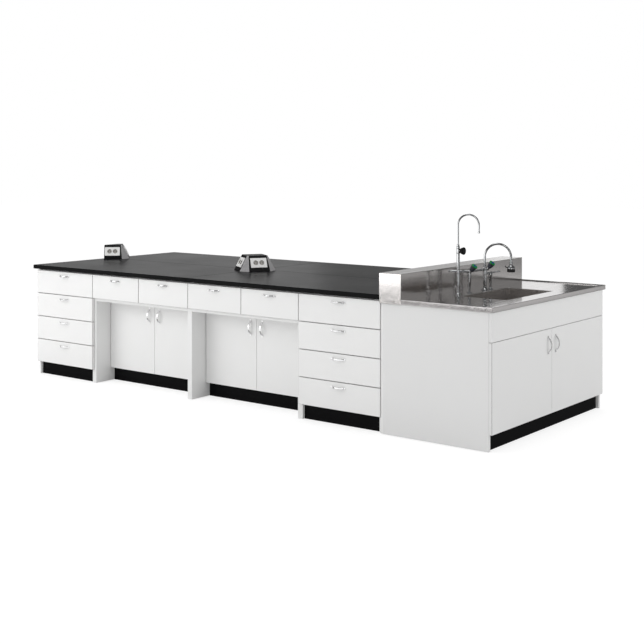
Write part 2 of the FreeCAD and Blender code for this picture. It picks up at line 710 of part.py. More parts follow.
# Swan-neck tap: a column with a valve, a bar with a hose nozzle on one side, a side valve on the other,
# both carried on legs along the row, and a spout with a spray head.
swan_knob_spot = ("swan_knob_reach", "0", "swan_knob_height")
side_knob_spot = on_row("-side_valve_reach", "side_knob_height")
swan_bars = fused("swan_bars", [
    rod("swan_bar", "tap_bar_radius", "swan_bar_front", ("0", "0", "swan_bar_height"), Y_AXIS, 90),
    rod("swan_nozzle", "nozzle_radius", "swan_nozzle_length",
        ("swan_bar_front", "0", "swan_bar_height"), Y_AXIS, 90),
    rod("swan_manifold", "tap_bar_radius", "side_valve_end + side_valve_reach",
        ("-side_valve_reach - side_valve_end", "0", "manifold_height"), Y_AXIS, 90)])
swan_body = cut("swan_body", fused("swan_casting", [
    rod("swan_flange", "swan_flange_radius", "swan_flange_height", ORIGIN),
    rod("swan_column", "swan_column_radius", "swan_column_height", ORIGIN),
    place(swan_bars, ORIGIN, Z_AXIS, ROW_TURN),
    *leg("swan_leg", "swan_leg_reach", "swan_bar_height"),
    *leg("side_leg", "-side_valve_reach", "manifold_height"),
    valve("swan_stem_placed", [knob_stem("swan_knob_stem")], swan_knob_spot, KNOB_TILT),
    valve("side_stem_placed", [knob_stem("side_knob_stem")], side_knob_spot, KNOB_TILT)]),
    [swivel_socket("swan_socket", "swan_spigot_radius", "swan_column_height")])
swan_spout = spout("swan_spout", "swan_pipe_radius", "swan_spigot_radius", "swan_collar_radius",
                   "swan_collar_height", "swan_column_height", "swan_spring_height", "swan_arch_radius",
                   "swan_drop")
spray_head = rod("spray_head", "spray_radius", "spray_height",
                 ("2 * swan_arch_radius", "0", "swan_spring_height - swan_drop - spray_height"))
swan_knob = valve("swan_knob_placed", knob("swan_knob"), swan_knob_spot, KNOB_TILT)
side_knob = valve("side_knob_placed", knob("side_knob"), side_knob_spot, KNOB_TILT)

TAP_PIECES = {
    "tall_tap_body": ("tall_tap_along", [tall_body]),
    "tall_tap_spout": ("tall_tap_along", [tall_spout]),
    "needle_valve_knob": ("tall_tap_along", [needle_knob]),
    "swan_tap_body": ("swan_tap_along", [swan_body]),
    "swan_tap_spout": ("swan_tap_along", [swan_spout, spray_head]),
    "swan_tap_knob": ("swan_tap_along", [swan_knob]),
    "side_valve_knob": ("swan_tap_along", [side_knob]),
}
for label, (along, pieces) in TAP_PIECES.items():
    corner = ("sink_face - tap_setback", "%s - sink_width / 2" % along, "deck_floor")
    nodes[label] = copy_at(label, pieces, corner, Z_AXIS, TAP_TURN)


def frustum(name, low_half, high_half, height, turn):
    """A four-sided tapered block with its base on z = 0."""
    wedge = doc.addObject("Part::Wedge", name)
    bind(wedge, Xmin="-(%s)" % low_half, Xmax=low_half, Zmin="-(%s)" % low_half, Zmax=low_half,
         X2min="-(%s)" % high_half, X2max=high_half, Z2min="-(%s)" % high_half, Z2max=high_half,
         Ymin="0", Ymax=height)
    wedge.Placement = FreeCAD.Placement(
        FreeCAD.Vector(), FreeCAD.Rotation(Z_AXIS, turn) * FreeCAD.Rotation(X_AXIS, 90))
    return wedge


# Power box: a tapered housing with trimmed corners and a twin socket plate on each sloping face.
corner_low = "(2 * power_base_half - power_corner_cut) / sqrt(2)"
corner_high = "(2 * power_top_half - power_corner_top) / sqrt(2)"
power_outer = frustum("power_outer", "power_base_half", "power_top_half", "power_height", 0)
power_trim = frustum("power_trim", corner_low, corner_high, "power_height", 45)
power_skin = frustum("power_skin", "%s + power_corner_skin" % corner_low,
                     "%s + power_corner_skin" % corner_high, "power_height", 45)
power_inner = frustum("power_inner", "power_base_half - power_corner_cut / 2 - power_shell_wall",
                      "power_top_half - power_corner_cut / 2 - power_shell_wall",
                      "power_height - power_shell_wall", 0)
power_block = common("power_block", power_outer, power_trim)
power_corners = common("power_corner_set", power_outer, cut("power_corner_band", power_skin, [power_trim]))


def leaning(name, piece):
    """A copy of a piece that lies on the front sloping face, let into it a little."""
    run = "(plate_lift * sin(power_slope * 1 deg) + plate_sink * cos(power_slope * 1 deg))"
    rise = "plate_lift * cos(power_slope * 1 deg) - plate_sink * sin(power_slope * 1 deg)"
    copy = copy_at(name, [piece], ("0", "%s - power_base_half" % run, rise), -X_AXIS, 1)
    copy.setExpression("Placement.Rotation.Angle", formula("power_slope * 1 deg"))
    return copy


def on_faces(name, piece, turns):
    return [copy_at(name, [piece], ORIGIN, Z_AXIS, turn) for turn in turns]


def end_block(name, wall):
    """The room of the end box: two upright walls and a back that runs along the end of the bench."""
    span = "(power_base_half + power_end_half - %s)" % wall
    quarter = board(name + "_quarter", (span, span, "power_height"),
                    ("%s - power_end_half" % wall, "-power_base_half", "0"))
    reach = "(%s - power_end_depth)" % wall
    back = board(name + "_back", ("4 * power_base_half", "4 * power_base_half", "power_height"), ORIGIN)
    place(back, ("(%s - 2 * power_base_half) / sqrt(2)" % reach,
                 "(-(%s) - 2 * power_base_half) / sqrt(2)" % reach, "0"), Z_AXIS, -45)
    return common(name, quarter, back)


plate_blank = board("plate_blank", ("plate_width", "plate_thickness", "plate_height"),
                    ("-plate_width / 2", "-plate_thickness", "0"))
plate_wells = [rod("plate_well", "socket_radius", "socket_depth", (x, "-plate_thickness", "plate_height / 2"),
                   X_AXIS, -90) for x in ("-socket_spacing / 2", "socket_spacing / 2")]
leaning_plate = leaning("leaning_plate", cut("plate", plate_blank, plate_wells))
leaning_pocket = leaning("leaning_pocket", plate_blank)
middle_shell = cut("middle_shell", power_block,
                   [power_inner] + on_faces("middle_pocket", leaning_pocket, MIDDLE_FACE_TURNS))
end_room = common("end_room", power_inner, end_block("end_inside", "power_shell_wall"))
end_shell = cut("end_shell", common("end_housing", power_block, end_block("end_outside", "0")),
                [end_room] + on_faces("end_pocket", leaning_pocket, END_FACE_TURNS))
end_strip = common("end_strip", power_corners,
                   board("end_strip_room", ("power_base_half", "power_base_half", "power_height"),
                         ("0", "-power_base_half", "0")))
POWER_BOXES = {
    "middle": (("bench_middle", "-power_forward", "bench_height"), MIDDLE_BOX_TURN, middle_shell,
               power_corners, on_faces("middle_plate", leaning_plate, MIDDLE_FACE_TURNS)),
    "end": (("bench_left", "power_end_back", "bench_height"), END_BOX_TURN, end_shell,
            end_strip, on_faces("end_plate", leaning_plate, END_FACE_TURNS)),
}
for box_name, (spot, turn, shell, strips, plates) in POWER_BOXES.items():
    for node, pieces in (("power_box_shells", [shell]), ("power_box_corners", [strips]),
                         ("socket_plates", plates)):
        add_fixed(node, copy_at("%s_%s" % (box_name, node), pieces, spot, Z_AXIS, turn))

for label, pieces in fixed.items():
    nodes[label] = group(label, pieces)
for label, node in nodes.items():
    node.Label = label
doc.recompute()

broken = [item.Name for item in doc.Objects if "Invalid" in item.State or "Error" in item.State]
if broken:
    raise RuntimeError("these objects failed: %s" % ", ".join(broken))
os.makedirs("parts", exist_ok=True)
for label, node in nodes.items():
    if node.Shape.isNull() or not node.Shape.isValid():
        raise RuntimeError("bad shape in %s" % label)
    solids = node.Shape.Solids
    Part.makeCompound(solids).exportStep("parts/%s.step" % label)
    print("%s: %d solids" % (label, len(solids)))
print("%d nodes" % len(nodes))
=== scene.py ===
# %% [markdown]
# A lab island bench, dressed for its portrait.
# The bench is a white cabinet row on both sides of a service space, under a black worktop,
# with a stainless sink unit across one end. The solid model comes in as a fixed frame, in metres,
# and every piece made here rides on one of its bodies, so drawers, doors and taps still move.

# %% Load the bench
import json
import math
from functools import partial
import bpy
import bmesh
from mathutils import Matrix, Vector


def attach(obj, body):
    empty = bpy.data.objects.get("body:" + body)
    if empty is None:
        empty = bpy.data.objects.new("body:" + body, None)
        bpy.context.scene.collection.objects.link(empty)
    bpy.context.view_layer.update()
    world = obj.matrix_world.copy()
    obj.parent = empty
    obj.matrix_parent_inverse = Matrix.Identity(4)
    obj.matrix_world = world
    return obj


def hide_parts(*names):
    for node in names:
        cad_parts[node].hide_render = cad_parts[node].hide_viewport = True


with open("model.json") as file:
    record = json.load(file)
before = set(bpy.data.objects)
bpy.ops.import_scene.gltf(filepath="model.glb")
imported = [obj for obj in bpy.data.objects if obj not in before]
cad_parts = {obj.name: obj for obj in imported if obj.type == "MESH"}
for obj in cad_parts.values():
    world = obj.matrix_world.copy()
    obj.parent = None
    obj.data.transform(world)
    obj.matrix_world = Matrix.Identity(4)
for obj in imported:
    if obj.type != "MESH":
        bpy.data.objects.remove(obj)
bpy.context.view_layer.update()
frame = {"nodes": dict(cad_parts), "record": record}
scene = bpy.context.scene
NODES = frame["nodes"]
BODIES = frame["record"]["behaviour"]["bodies"]
BODY_OF = {node: body for body, members in BODIES.items() for node in members}

# %% [markdown]
# The photograph keeps every upright of the bench exactly upright, so the camera is level.
# A level camera that still looks down on a low bench needs a vertical lens shift, as an
# architect's view camera does. The place and the focal length were fitted to the bench's corners.

# %% Camera
SENSOR_WIDTH, FOCAL_LENGTH, LENS_SHIFT, FAR_LIMIT = 36, 64.92, -0.2534, 100
EYE_PLACE, EYE_LEVEL, EYE_HEADING = (5.27674, -6.55795, 1.67429), 90, 37.68

eye = bpy.data.cameras.new("eye")
eye.sensor_width, eye.lens = SENSOR_WIDTH, FOCAL_LENGTH
eye.shift_y, eye.clip_end = LENS_SHIFT, FAR_LIMIT
camera = bpy.data.objects.new("eye", eye)
camera.location = EYE_PLACE
camera.rotation_euler = (math.radians(EYE_LEVEL), 0, math.radians(EYE_HEADING))
scene.collection.objects.link(camera)
scene.camera = camera
print("camera at", tuple(round(c, 2) for c in camera.location))

# %% [markdown]
# A product studio is a white sheet in a dim room. The world gives the even part of the light:
# the camera sees a white wall, and mirrors see the dim room. One broad lamp from the front left
# makes the drawer fronts brighter than the sink doors, and a small one lights those.
# Each lamp is a row of place, target, width, height and power.

# %% Studio light
AMBIENT_LEVEL, ROOM_LEVEL = 0.8, 0.1
WHITE = (1, 1, 1, 1)
SUMS = {"+": "ADD", "-": "SUBTRACT", "*": "MULTIPLY", "^": "POWER"}
LAMPS = {
    "front_softbox": ((-3.8, -4.4, 3.0), (-0.4, -0.5, 0.5), 4, 3, 100),
    "side_softbox": ((6.5, 1.6, 2.4), (1.8, 0, 0.5), 3, 2.5, 55),
}


def add_node(tree, kind, *ordered, **named):
    """Adds one node and returns its outputs. Lower-case words set the node up. Values in order and
    capitalised words go to its sockets: each is a plain value or another node's output."""
    family = "" if "Node" in kind else tree.bl_idname.removesuffix("Tree")
    node = tree.nodes.new(family + kind)
    for name in [name for name in named if name.islower()]:
        setattr(node, name, named.pop(name))
    sockets = list(zip(node.inputs, ordered))
    for name, value in named.items():
        label = name.replace("_", " ")
        sockets.append((next(s for s in node.inputs if s.name == label and s.enabled), value))
    for socket, value in sockets:
        if isinstance(value, bpy.types.NodeSocket):
            tree.links.new(value, socket)
        else:
            socket.default_value = value
    return node.outputs


def math_node(tree, operation, *values):
    """One sum on numbers or other nodes' outputs."""
    return add_node(tree, "ShaderNodeMath", *values, operation=SUMS.get(operation, operation))[0]


def empty_tree(owner):
    owner.use_nodes = True
    owner.node_tree.nodes.clear()
    return owner.node_tree


def aim(place, target):
    """The turn of a lamp or card that stands at one place and looks at another."""
    return (Vector(target) - Vector(place)).to_track_quat("-Z", "Y")


scene.world = bpy.data.worlds.new("studio")
tree = empty_tree(scene.world)
path = add_node(tree, "LightPath")
to_wall = math_node(tree, "*", path["Is Camera Ray"], 1 - AMBIENT_LEVEL)
to_room = math_node(tree, "*", path["Is Glossy Ray"], ROOM_LEVEL - AMBIENT_LEVEL)
level = math_node(tree, "+", math_node(tree, "+", to_wall, to_room), AMBIENT_LEVEL)
sky = add_node(tree, "Background", Color=WHITE, Strength=level)
add_node(tree, "OutputWorld", Surface=sky[0])

for name, (place, target, width, height, power) in LAMPS.items():
    lamp = bpy.data.lights.new(name, "AREA")
    lamp.energy = power
    lamp.shape = "RECTANGLE"
    lamp.size, lamp.size_y = width, height
    softbox = bpy.data.objects.new(name, lamp)
    softbox.location = place
    softbox.rotation_euler = aim(place, target).to_euler()
    softbox.visible_glossy = False
    scene.collection.objects.link(softbox)
scene.view_settings.view_transform = "Standard"
print("lamps", len(LAMPS))

# %% [markdown]
# Steel reads as steel only when it has bright and dark things to mirror. The cards are seen by mirrors alone,
# never by the camera, and the dark between them is the dim room. The floor is white paper that glows
# a little for the camera, keeps a soft shadow, and looks dim in mirrors.
# Each card is a row of place, target, width, height and brightness.

# %% Cards and floor
FLOOR_SIZE, PAPER = 60, (0.9, 0.9, 0.9, 1)
PAPER_GLOW, PAPER_GLOW_SHARE, PAPER_MIRROR_LEVEL = 1.2, 0.62, 0.24
SQUARE = ((-1, -1), (1, -1), (1, 1), (-1, 1))
CARDS = {
    "front_card": ((-3.4, -6.4, 1.9), (-1.0, 0, 0.5), 8, 3.6, 2.5),
    "floor_front": ((-1.6, -3.1, 0.02), (-1.6, -3.1, 2.0), 9, 3.6, 1.15),
    "wall_left": ((-10.2, 8.5, 2.8), (-10.2, 0, 2.8), 7.6, 3.2, 0.75),
    "wall_middle": ((-4.9, 8.5, 2.8), (-4.9, 0, 2.8), 3.0, 3.2, 0.34),
    "wall_right": ((-2.7, 8.5, 2.8), (-2.7, 0, 2.8), 1.3, 3.2, 0.95),
    "floor_patch": ((5.2, 5.6, 0.02), (5.2, 5.6, 2.0), 2.4, 5.0, 0.6),
    "wall_side": ((8.5, 11.5, 2.2), (1.6, 0, 0.9), 11, 5, 0.24),
    "strip_light": ((6.2, -4.6, 2.0), (1.5, 0, 1.0), 0.5, 4, 4.0),
    "side_card": ((8.0, 2.6, 3.4), (1.5, 0, 0.9), 2.4, 1.2, 1.6),
    "top_card": ((1.2, -0.6, 4.6), (1.4, 0, 0.8), 2.4, 1.4, 2.6),
}

for name, (place, target, width, height, brightness) in CARDS.items():
    sheet = bpy.data.meshes.new(name)
    sheet.from_pydata([(x * width / 2, y * height / 2, 0) for x, y in SQUARE], [], [(0, 1, 2, 3)])
    sheet.transform(Matrix.Translation(place) @ aim(place, target).to_matrix().to_4x4())
    white = bpy.data.materials.new(name)
    tree = empty_tree(white)
    glow = add_node(tree, "Emission", Color=WHITE, Strength=brightness)
    add_node(tree, "OutputMaterial", Surface=glow[0])
    sheet.materials.append(white)
    card = bpy.data.objects.new(name, sheet)
    scene.collection.objects.link(card)
    card.visible_camera = card.visible_diffuse = card.visible_shadow = card.visible_transmission = False

bpy.ops.mesh.primitive_plane_add(size=FLOOR_SIZE)
floor = bpy.context.object
floor.name = "floor"
floor_finish = bpy.data.materials.new("studio_floor")
tree = empty_tree(floor_finish)
path = add_node(tree, "LightPath")
paper = add_node(tree, "BsdfDiffuse", Color=PAPER)
glow = add_node(tree, "Emission", Color=WHITE, Strength=PAPER_GLOW)
dim = add_node(tree, "Emission", Color=WHITE, Strength=PAPER_MIRROR_LEVEL)
glow_share = math_node(tree, "*", path["Is Camera Ray"], PAPER_GLOW_SHARE)
seen = add_node(tree, "MixShader", glow_share, paper[0], glow[0])
mirrored = add_node(tree, "MixShader", path["Is Glossy Ray"], seen[0], dim[0])
add_node(tree, "OutputMaterial", Surface=mirrored[0])
floor.data.materials.append(floor_finish)
print("floor", FLOOR_SIZE, "m, cards", len(CARDS))

# %% [markdown]
# The solid model gives each node as loose triangles, one closed solid after the other.
# Real boards and sheets never end in knife edges: a laminate edge is eased by about a millimetre,
# a folded sheet by two. So each solid is copied, its flat faces are joined again,
# and its sharp edges are rounded. A solid is complete when every edge has met its partner.

# %% Copy solids and ease their edges
GRID = 1e-5
FLAT_TURN, EASED_TURN = 0.4, 35


def solids_of(node):
    """Splits a node's loose triangles into its closed solids, in the order they were made."""
    mesh = NODES[node].data
    mesh.calc_loop_triangles()
    spot = [tuple(round(c / GRID) for c in v.co) for v in mesh.vertices]
    waiting, solids, current = {}, [], []
    for triangle in mesh.loop_triangles:
        corners = [spot[i] for i in triangle.vertices]
        current.append(corners)
        for a, b in zip(corners, corners[1:] + corners[:1]):
            if waiting.get((b, a)):
                waiting[b, a] -= 1
                if not waiting[b, a]:
                    del waiting[b, a]
            else:
                waiting[a, b] = waiting.get((a, b), 0) + 1
        if not waiting:
            solids.append(current)
            current = []
    return solids


def box_of(solid):
    spots = [c for corners in solid for c in corners]
    low = Vector([min(s[i] for s in spots) * GRID for i in range(3)])
    high = Vector([max(s[i] for s in spots) * GRID for i in range(3)])
    return low, high


def ease_edges(part, ease, steps=2):
    sharp = [e for e in part.edges
             if len(e.link_faces) == 2 and e.calc_face_angle() > math.radians(EASED_TURN)]
    if sharp:
        bmesh.ops.bevel(part, geom=sharp, offset=ease, offset_type="OFFSET", segments=steps, profile=0.5,
                        affect="EDGES", clamp_overlap=True)


def solid_mesh(solid, ease, steps=2):
    """Copies one closed solid: the triangles of each flat face are joined, the sharp edges eased."""
    part = bmesh.new()
    corner = {}
    for corners in solid:
        for spot in corners:
            if spot not in corner:
                corner[spot] = part.verts.new([c * GRID for c in spot])
        if len(set(corners)) == 3:
            part.faces.new([corner[spot] for spot in corners])
    bmesh.ops.dissolve_limit(part, angle_limit=math.radians(FLAT_TURN), verts=part.verts, edges=part.edges)
    ease_edges(part, ease, steps)
    return part


print("first drawer has", len(solids_of("front_left_stack_drawer_1")), "solids")

# %% [markdown]
# A piece collects finished parts in one mesh and keeps a list of their finishes. Its shading is smooth
# over the eased edges and flat on the boards, which weighted normals give. When it is settled,
# it becomes an object that stands for its node in the solid model and rides on the node's body.

# %% Collect parts into pieces
SHARP_TURN, FLAT_WEIGHT = 55, 80


def add_part(piece, part, *finishes):
    """Moves one finished bmesh into a piece; its faces point at the finishes by number."""
    for finish in finishes:
        if finish not in piece["finishes"]:
            piece["finishes"].append(finish)
    for face in part.faces:
        face.material_index = piece["finishes"].index(finishes[face.material_index])
    store = bpy.data.meshes.new("part")
    part.to_mesh(store)
    part.free()
    piece["mesh"].from_mesh(store)
    bpy.data.meshes.remove(store)


def add_mesh(piece, mesh, place=Matrix()):
    """Copies a finished mesh into a piece, put in its place."""
    part = bmesh.new()
    part.from_mesh(mesh)
    part.transform(place)
    add_part(piece, part, *mesh.materials)


def new_piece():
    return {"mesh": bmesh.new(), "finishes": []}


def settle(node, piece):
    """Turns a piece into an object with smooth eased edges, which stands for a node and rides on its body."""
    name = node + "_dressed"
    mesh = bpy.data.meshes.new(name)
    piece["mesh"].to_mesh(mesh)
    piece["mesh"].free()
    for finish in piece["finishes"]:
        mesh.materials.append(finish)
    mesh.shade_smooth()
    mesh.set_sharp_from_angle(angle=math.radians(SHARP_TURN))
    dressed = bpy.data.objects.new(name, mesh)
    scene.collection.objects.link(dressed)
    weighted = dressed.modifiers.new("flat_faces", "WEIGHTED_NORMAL")
    weighted.keep_sharp = True
    weighted.weight = FLAT_WEIGHT
    evaluated = dressed.evaluated_get(bpy.context.evaluated_depsgraph_get())
    dressed.data = bpy.data.meshes.new_from_object(evaluated)
    dressed.data.name = name
    dressed.modifiers.clear()
    bpy.data.meshes.remove(mesh)
    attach(dressed, BODY_OF[node])
    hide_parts(node)


print("nodes to stand for", len(NODES))

# %% [markdown]
# No real surface is one flat colour. Three effects come back in almost every finish here:
# a slow drift of tone, as from cleaning and handling; fine lines from a brushing machine;
# and the tiny bumps of a pressed or moulded skin. Each is a shader group, built once and placed
# in the finishes with its own scale. All of them read Object coordinates, so they stick to the piece.

# %% Shared surface effects


def node_group(family, name, inputs, outputs):
    """An empty node group with named sockets, and the values that come in through them."""
    group = bpy.data.node_groups.new(name, family + "NodeTree")
    for way, sockets in (("INPUT", inputs), ("OUTPUT", outputs)):
        for socket, kind in sockets.items():
            group.interface.new_socket(socket, in_out=way, socket_type="NodeSocket" + kind)
    return group, group.nodes.new("NodeGroupInput").outputs


drift, give = node_group("Shader", "tone_drift", {"Vector": "Vector", "Scale": "Float", "Depth": "Float"},
                         {"Tone": "Float", "Mask": "Float"})
cloud = add_node(drift, "TexNoise", Vector=give["Vector"], Scale=give["Scale"], Detail=5, Roughness=0.62)
swing = math_node(drift, "-", cloud["Fac"], 0.5)
tone = math_node(drift, "+", math_node(drift, "*", swing, give["Depth"]), 1)
add_node(drift, "NodeGroupOutput", tone, cloud["Fac"])

brushing, give = node_group("Shader", "brushed_lines", {"Vector": "Vector", "Along": "Vector"},
                            {"Lines": "Float", "Streaks": "Float"})
stretch = add_node(brushing, "VectorMath", give["Vector"], give["Along"], operation="MULTIPLY")[0]
fine = add_node(brushing, "TexNoise", Vector=stretch, Scale=1, Detail=4, Roughness=0.7)
broad = add_node(brushing, "TexNoise", Vector=stretch, Scale=0.06, Detail=3, Roughness=0.6)
add_node(brushing, "NodeGroupOutput", fine["Fac"], broad["Fac"])

skin, give = node_group("Shader", "pressed_skin", {"Vector": "Vector", "Scale": "Float"},
                        {"Height": "Float", "Grain": "Float"})
peel = add_node(skin, "TexNoise", Vector=give["Vector"], Scale=give["Scale"], Detail=2, Roughness=0.5)
cell = add_node(skin, "TexVoronoi", Vector=give["Vector"], Scale=give["Scale"])
height = math_node(skin, "+", peel["Fac"], math_node(skin, "*", cell["Distance"], 0.4))
add_node(skin, "NodeGroupOutput", height, cell["Distance"])
print("effects", drift.name, brushing.name, skin.name)

# %% [markdown]
# Each finish is a Principled surface with two or three of these effects around it.
# Its plain numbers, such as the sheen of a metal, are set on the shader itself.
# The tone drift darkens and lightens the colour a little and moves the roughness with it.

# %% Finishes of boards and metals
UP_LINES, SIDE_LINES = (900, 900, 9), (900, 9, 900)
SECOND_TONE = 0.9


def finish(name, colour, rough, drift_scale=6, drift_depth=0.06, rough_swing=0.1, skin_scale=900,
           skin_depth=0.00006, metal=0.0, lines=None, second=None, shine=0.5):
    """A procedural finish: drifting colour and roughness, with a pressed or brushed surface."""
    material = bpy.data.materials.new(name)
    material.use_nodes = True
    tree = material.node_tree
    where = add_node(tree, "TexCoord")["Object"]
    tone = add_node(tree, "Group", node_tree=drift, Vector=where, Scale=drift_scale, Depth=drift_depth)
    if lines:
        relief = add_node(tree, "Group", node_tree=brushing, Vector=where, Along=lines)
        height, speck, mask = relief["Lines"], relief["Streaks"], relief["Streaks"]
    else:
        relief = add_node(tree, "Group", node_tree=skin, Vector=where, Scale=skin_scale)
        height, speck, mask = relief["Height"], relief["Grain"], tone["Mask"]
    second = second or [c * SECOND_TONE for c in colour]
    blend = add_node(tree, "Mix", data_type="RGBA", Factor=speck, A=(*colour, 1), B=(*second, 1))
    scaled = add_node(tree, "VectorMath", blend["Result"], operation="SCALE", Scale=tone["Tone"])
    swing = math_node(tree, "*", math_node(tree, "-", mask, 0.5), rough_swing)
    bump = add_node(tree, "Bump", Height=height, Distance=skin_depth)
    surface = tree.nodes["Principled BSDF"].inputs
    surface["Metallic"].default_value = metal
    surface["Specular IOR Level"].default_value = shine
    tree.links.new(scaled[0], surface["Base Color"])
    tree.links.new(math_node(tree, "+", swing, rough), surface["Roughness"])
    tree.links.new(bump[0], surface["Normal"])
    return material


BRUSHED = {"metal": 1, "lines": SIDE_LINES, "rough_swing": 0.16, "skin_depth": 0.00003}
laminate = finish("white_laminate", (0.822, 0.822, 0.817), 0.42, drift_depth=0.02, shine=0.34,
                  second=(0.792, 0.792, 0.787))
# painted shade: a darker copy of the white laminate for the sink unit, which stands in for the light falling
# off towards that end
sink_laminate = finish("sink_laminate", (0.75, 0.75, 0.747), 0.42, drift_depth=0.02, shine=0.34,
                       second=(0.725, 0.725, 0.722))
# painted shade: a dark grey finish for the eased edges of fronts and doors, which deepens the gaps between
# them
laminate_core = finish("laminate_core", (0.2, 0.192, 0.186), 0.5)
box_board = finish("drawer_box_board", (0.5, 0.495, 0.48), 0.5, drift_scale=3, second=(0.46, 0.455, 0.44))
worktop_black = finish("black_worktop", (0.012, 0.012, 0.013), 0.34, drift_scale=3, drift_depth=0.25,
                       shine=0.2, skin_scale=1500, skin_depth=0.00008, second=(0.02, 0.02, 0.0215))
# painted shade: a darker, duller copy of the black worktop finish for the slabs' side faces
worktop_edge = finish("worktop_edge", (0.004, 0.004, 0.0044), 0.5, shine=0.06)
plinth_black = finish("black_plinth", (0.0028, 0.0028, 0.0032), 0.45, drift_depth=0.2, shine=0.06,
                      second=(0.004, 0.004, 0.0045))
deck_steel = finish("brushed_deck", (0.67, 0.648, 0.64), 0.13, drift_scale=2.5, drift_depth=0.14,
                    second=(0.58, 0.565, 0.56), **BRUSHED)
splash_steel = finish("brushed_splash", (0.84, 0.812, 0.798), 0.14, drift_scale=2, drift_depth=0.12,
                      second=(0.75, 0.722, 0.708), **BRUSHED)
# painted light: a lighter, less metallic copy of the splash steel for the splash back's top face
lit_splash_top = finish("brushed_splash_top", (0.86, 0.845, 0.835), 0.26, metal=0.5, lines=SIDE_LINES)
bowl_steel = finish("satin_bowl", (0.73, 0.7, 0.68), 0.2, metal=0.9, lines=UP_LINES, drift_depth=0.12,
                    rough_swing=0.14, skin_depth=0.000006)
chrome = finish("tap_chrome", (0.68, 0.69, 0.7), 0.05, metal=1, drift_scale=30, rough_swing=0.06,
                skin_depth=0.000004)
handle_steel = finish("satin_handle", (0.95, 0.95, 0.955), 0.12, metal=0.8, drift_scale=40, skin_scale=2500,
                      skin_depth=0.00002)
zinc = finish("zinc_plate", (0.52, 0.53, 0.54), 0.38, metal=1, drift_scale=20, drift_depth=0.2,
              skin_scale=220, skin_depth=0.00001, second=(0.6, 0.61, 0.62))
print("materials", len(bpy.data.materials))

# %% [markdown]
# The small parts are moulded. Their moulds leave a skin far finer than pressed laminate, so the bumps
# are packed closer and are shallower. Black plastic still mirrors a little light; rubber hardly does.

# %% Finishes of moulded parts
FINE_SKIN = {"skin_scale": 3000, "skin_depth": 0.00002}
knob_navy = finish("navy_knob", (0.03, 0.035, 0.052), 0.4, drift_scale=60, skin_scale=3000,
                   skin_depth=0.00003)
ring_green = finish("green_ring", (0.0, 0.24, 0.04), 0.4, drift_scale=60, **FINE_SKIN)
index_blue = finish("blue_index", (0.004, 0.03, 0.24), 0.35, drift_scale=60, **FINE_SKIN)
black_moulding = finish("black_moulding", (0.004, 0.004, 0.0045), 0.38, shine=0.25, drift_depth=0.2,
                        skin_scale=2200, skin_depth=0.00005)
grey_strip = finish("grey_strip", (0.4, 0.395, 0.4), 0.42, lines=UP_LINES, drift_depth=0.1,
                    skin_depth=0.00004, second=(0.35, 0.345, 0.35))
socket_white = finish("socket_white", (0.92, 0.92, 0.91), 0.28, drift_depth=0.03, **FINE_SKIN)
# painted shade: a grey finish for the liner inside each socket well, which darkens the recess
well_grey = finish("well_grey", (0.4, 0.385, 0.36), 0.35, **FINE_SKIN)
contact_brass = finish("contact_brass", (0.5, 0.38, 0.2), 0.35, metal=1, drift_scale=80, skin_scale=3000)
drain_grey = finish("drain_plastic", (0.66, 0.66, 0.65), 0.4, drift_scale=12, skin_scale=1800)
rubber = finish("black_rubber", (0.015, 0.015, 0.015), 0.7, drift_scale=30, drift_depth=0.3, skin_scale=2500,
                skin_depth=0.00008)
print("materials", len(bpy.data.materials))

# %% [markdown]
# Pieces that follow a rule are grown by Geometry Nodes, and then kept as plain meshes.
# A recipe is a node group with named values. It may start from a few points and the lines between them,
# and it always ends as real geometry in one finish.

# %% Recipes


def recipe(name, sizes="", **others):
    """An empty Geometry Nodes group with named inputs: its sizes, its finish and any others."""
    sizes = dict.fromkeys(sizes.split(), "Float")
    inputs = {"Geometry": "Geometry", "Finish": "Material", **sizes, **others}
    return node_group("Geometry", name, inputs, {"Geometry": "Geometry"})


def point(tree, x=0.0, y=0.0, z=0.0):
    return add_node(tree, "ShaderNodeCombineXYZ", x, y, z)[0]


def sweep(tree, line, section):
    return add_node(tree, "CurveToMesh", Curve=line, Profile_Curve=section, Fill_Caps=True)[0]


def close_recipe(tree, give, *parts):
    """Every recipe ends the same way: its parts joined to real geometry, with its finish."""
    join = tree.nodes.new("GeometryNodeJoinGeometry")
    for part in parts:
        tree.links.new(part, join.inputs[0])
    real = add_node(tree, "RealizeInstances", Geometry=join.outputs[0])
    coloured = add_node(tree, "SetMaterial", Geometry=real[0], Material=give["Finish"])
    add_node(tree, "NodeGroupOutput", coloured[0])


def grow(tree, finish, spots=(), links=(), **values):
    """Runs a recipe on a few points and the lines between them, and returns the plain mesh."""
    seed = bpy.data.meshes.new(tree.name)
    seed.from_pydata(spots, links, [])
    holder = bpy.data.objects.new(tree.name, seed)
    scene.collection.objects.link(holder)
    modifier = holder.modifiers.new("recipe", "NODES")
    modifier.node_group = tree
    values["Finish"] = finish
    for socket in tree.interface.items_tree:
        if socket.in_out == "INPUT" and socket.name in values:
            modifier[socket.identifier] = values[socket.name]
    mesh = bpy.data.meshes.new_from_object(holder.evaluated_get(bpy.context.evaluated_depsgraph_get()))
    bpy.data.objects.remove(holder)
    return mesh


repeat, give = recipe("copies_on_points", Pattern="Object", Turn="Rotation")
shape = add_node(repeat, "ObjectInfo", Object=give["Pattern"])["Geometry"]
copies = add_node(repeat, "InstanceOnPoints", Points=give["Geometry"], Instance=shape, Rotation=give["Turn"])
close_recipe(repeat, give, copies[0])

print("recipe", repeat.name)

# %% [markdown]
# The bow handle is a flat steel bar bent to an arc, with a flat tab at each foot that takes the screw
# from behind. The recipe sweeps a rounded bar along a three-point arc, and each tab is a thinner bar
# swept along a short line. One recipe serves every drawer and door.

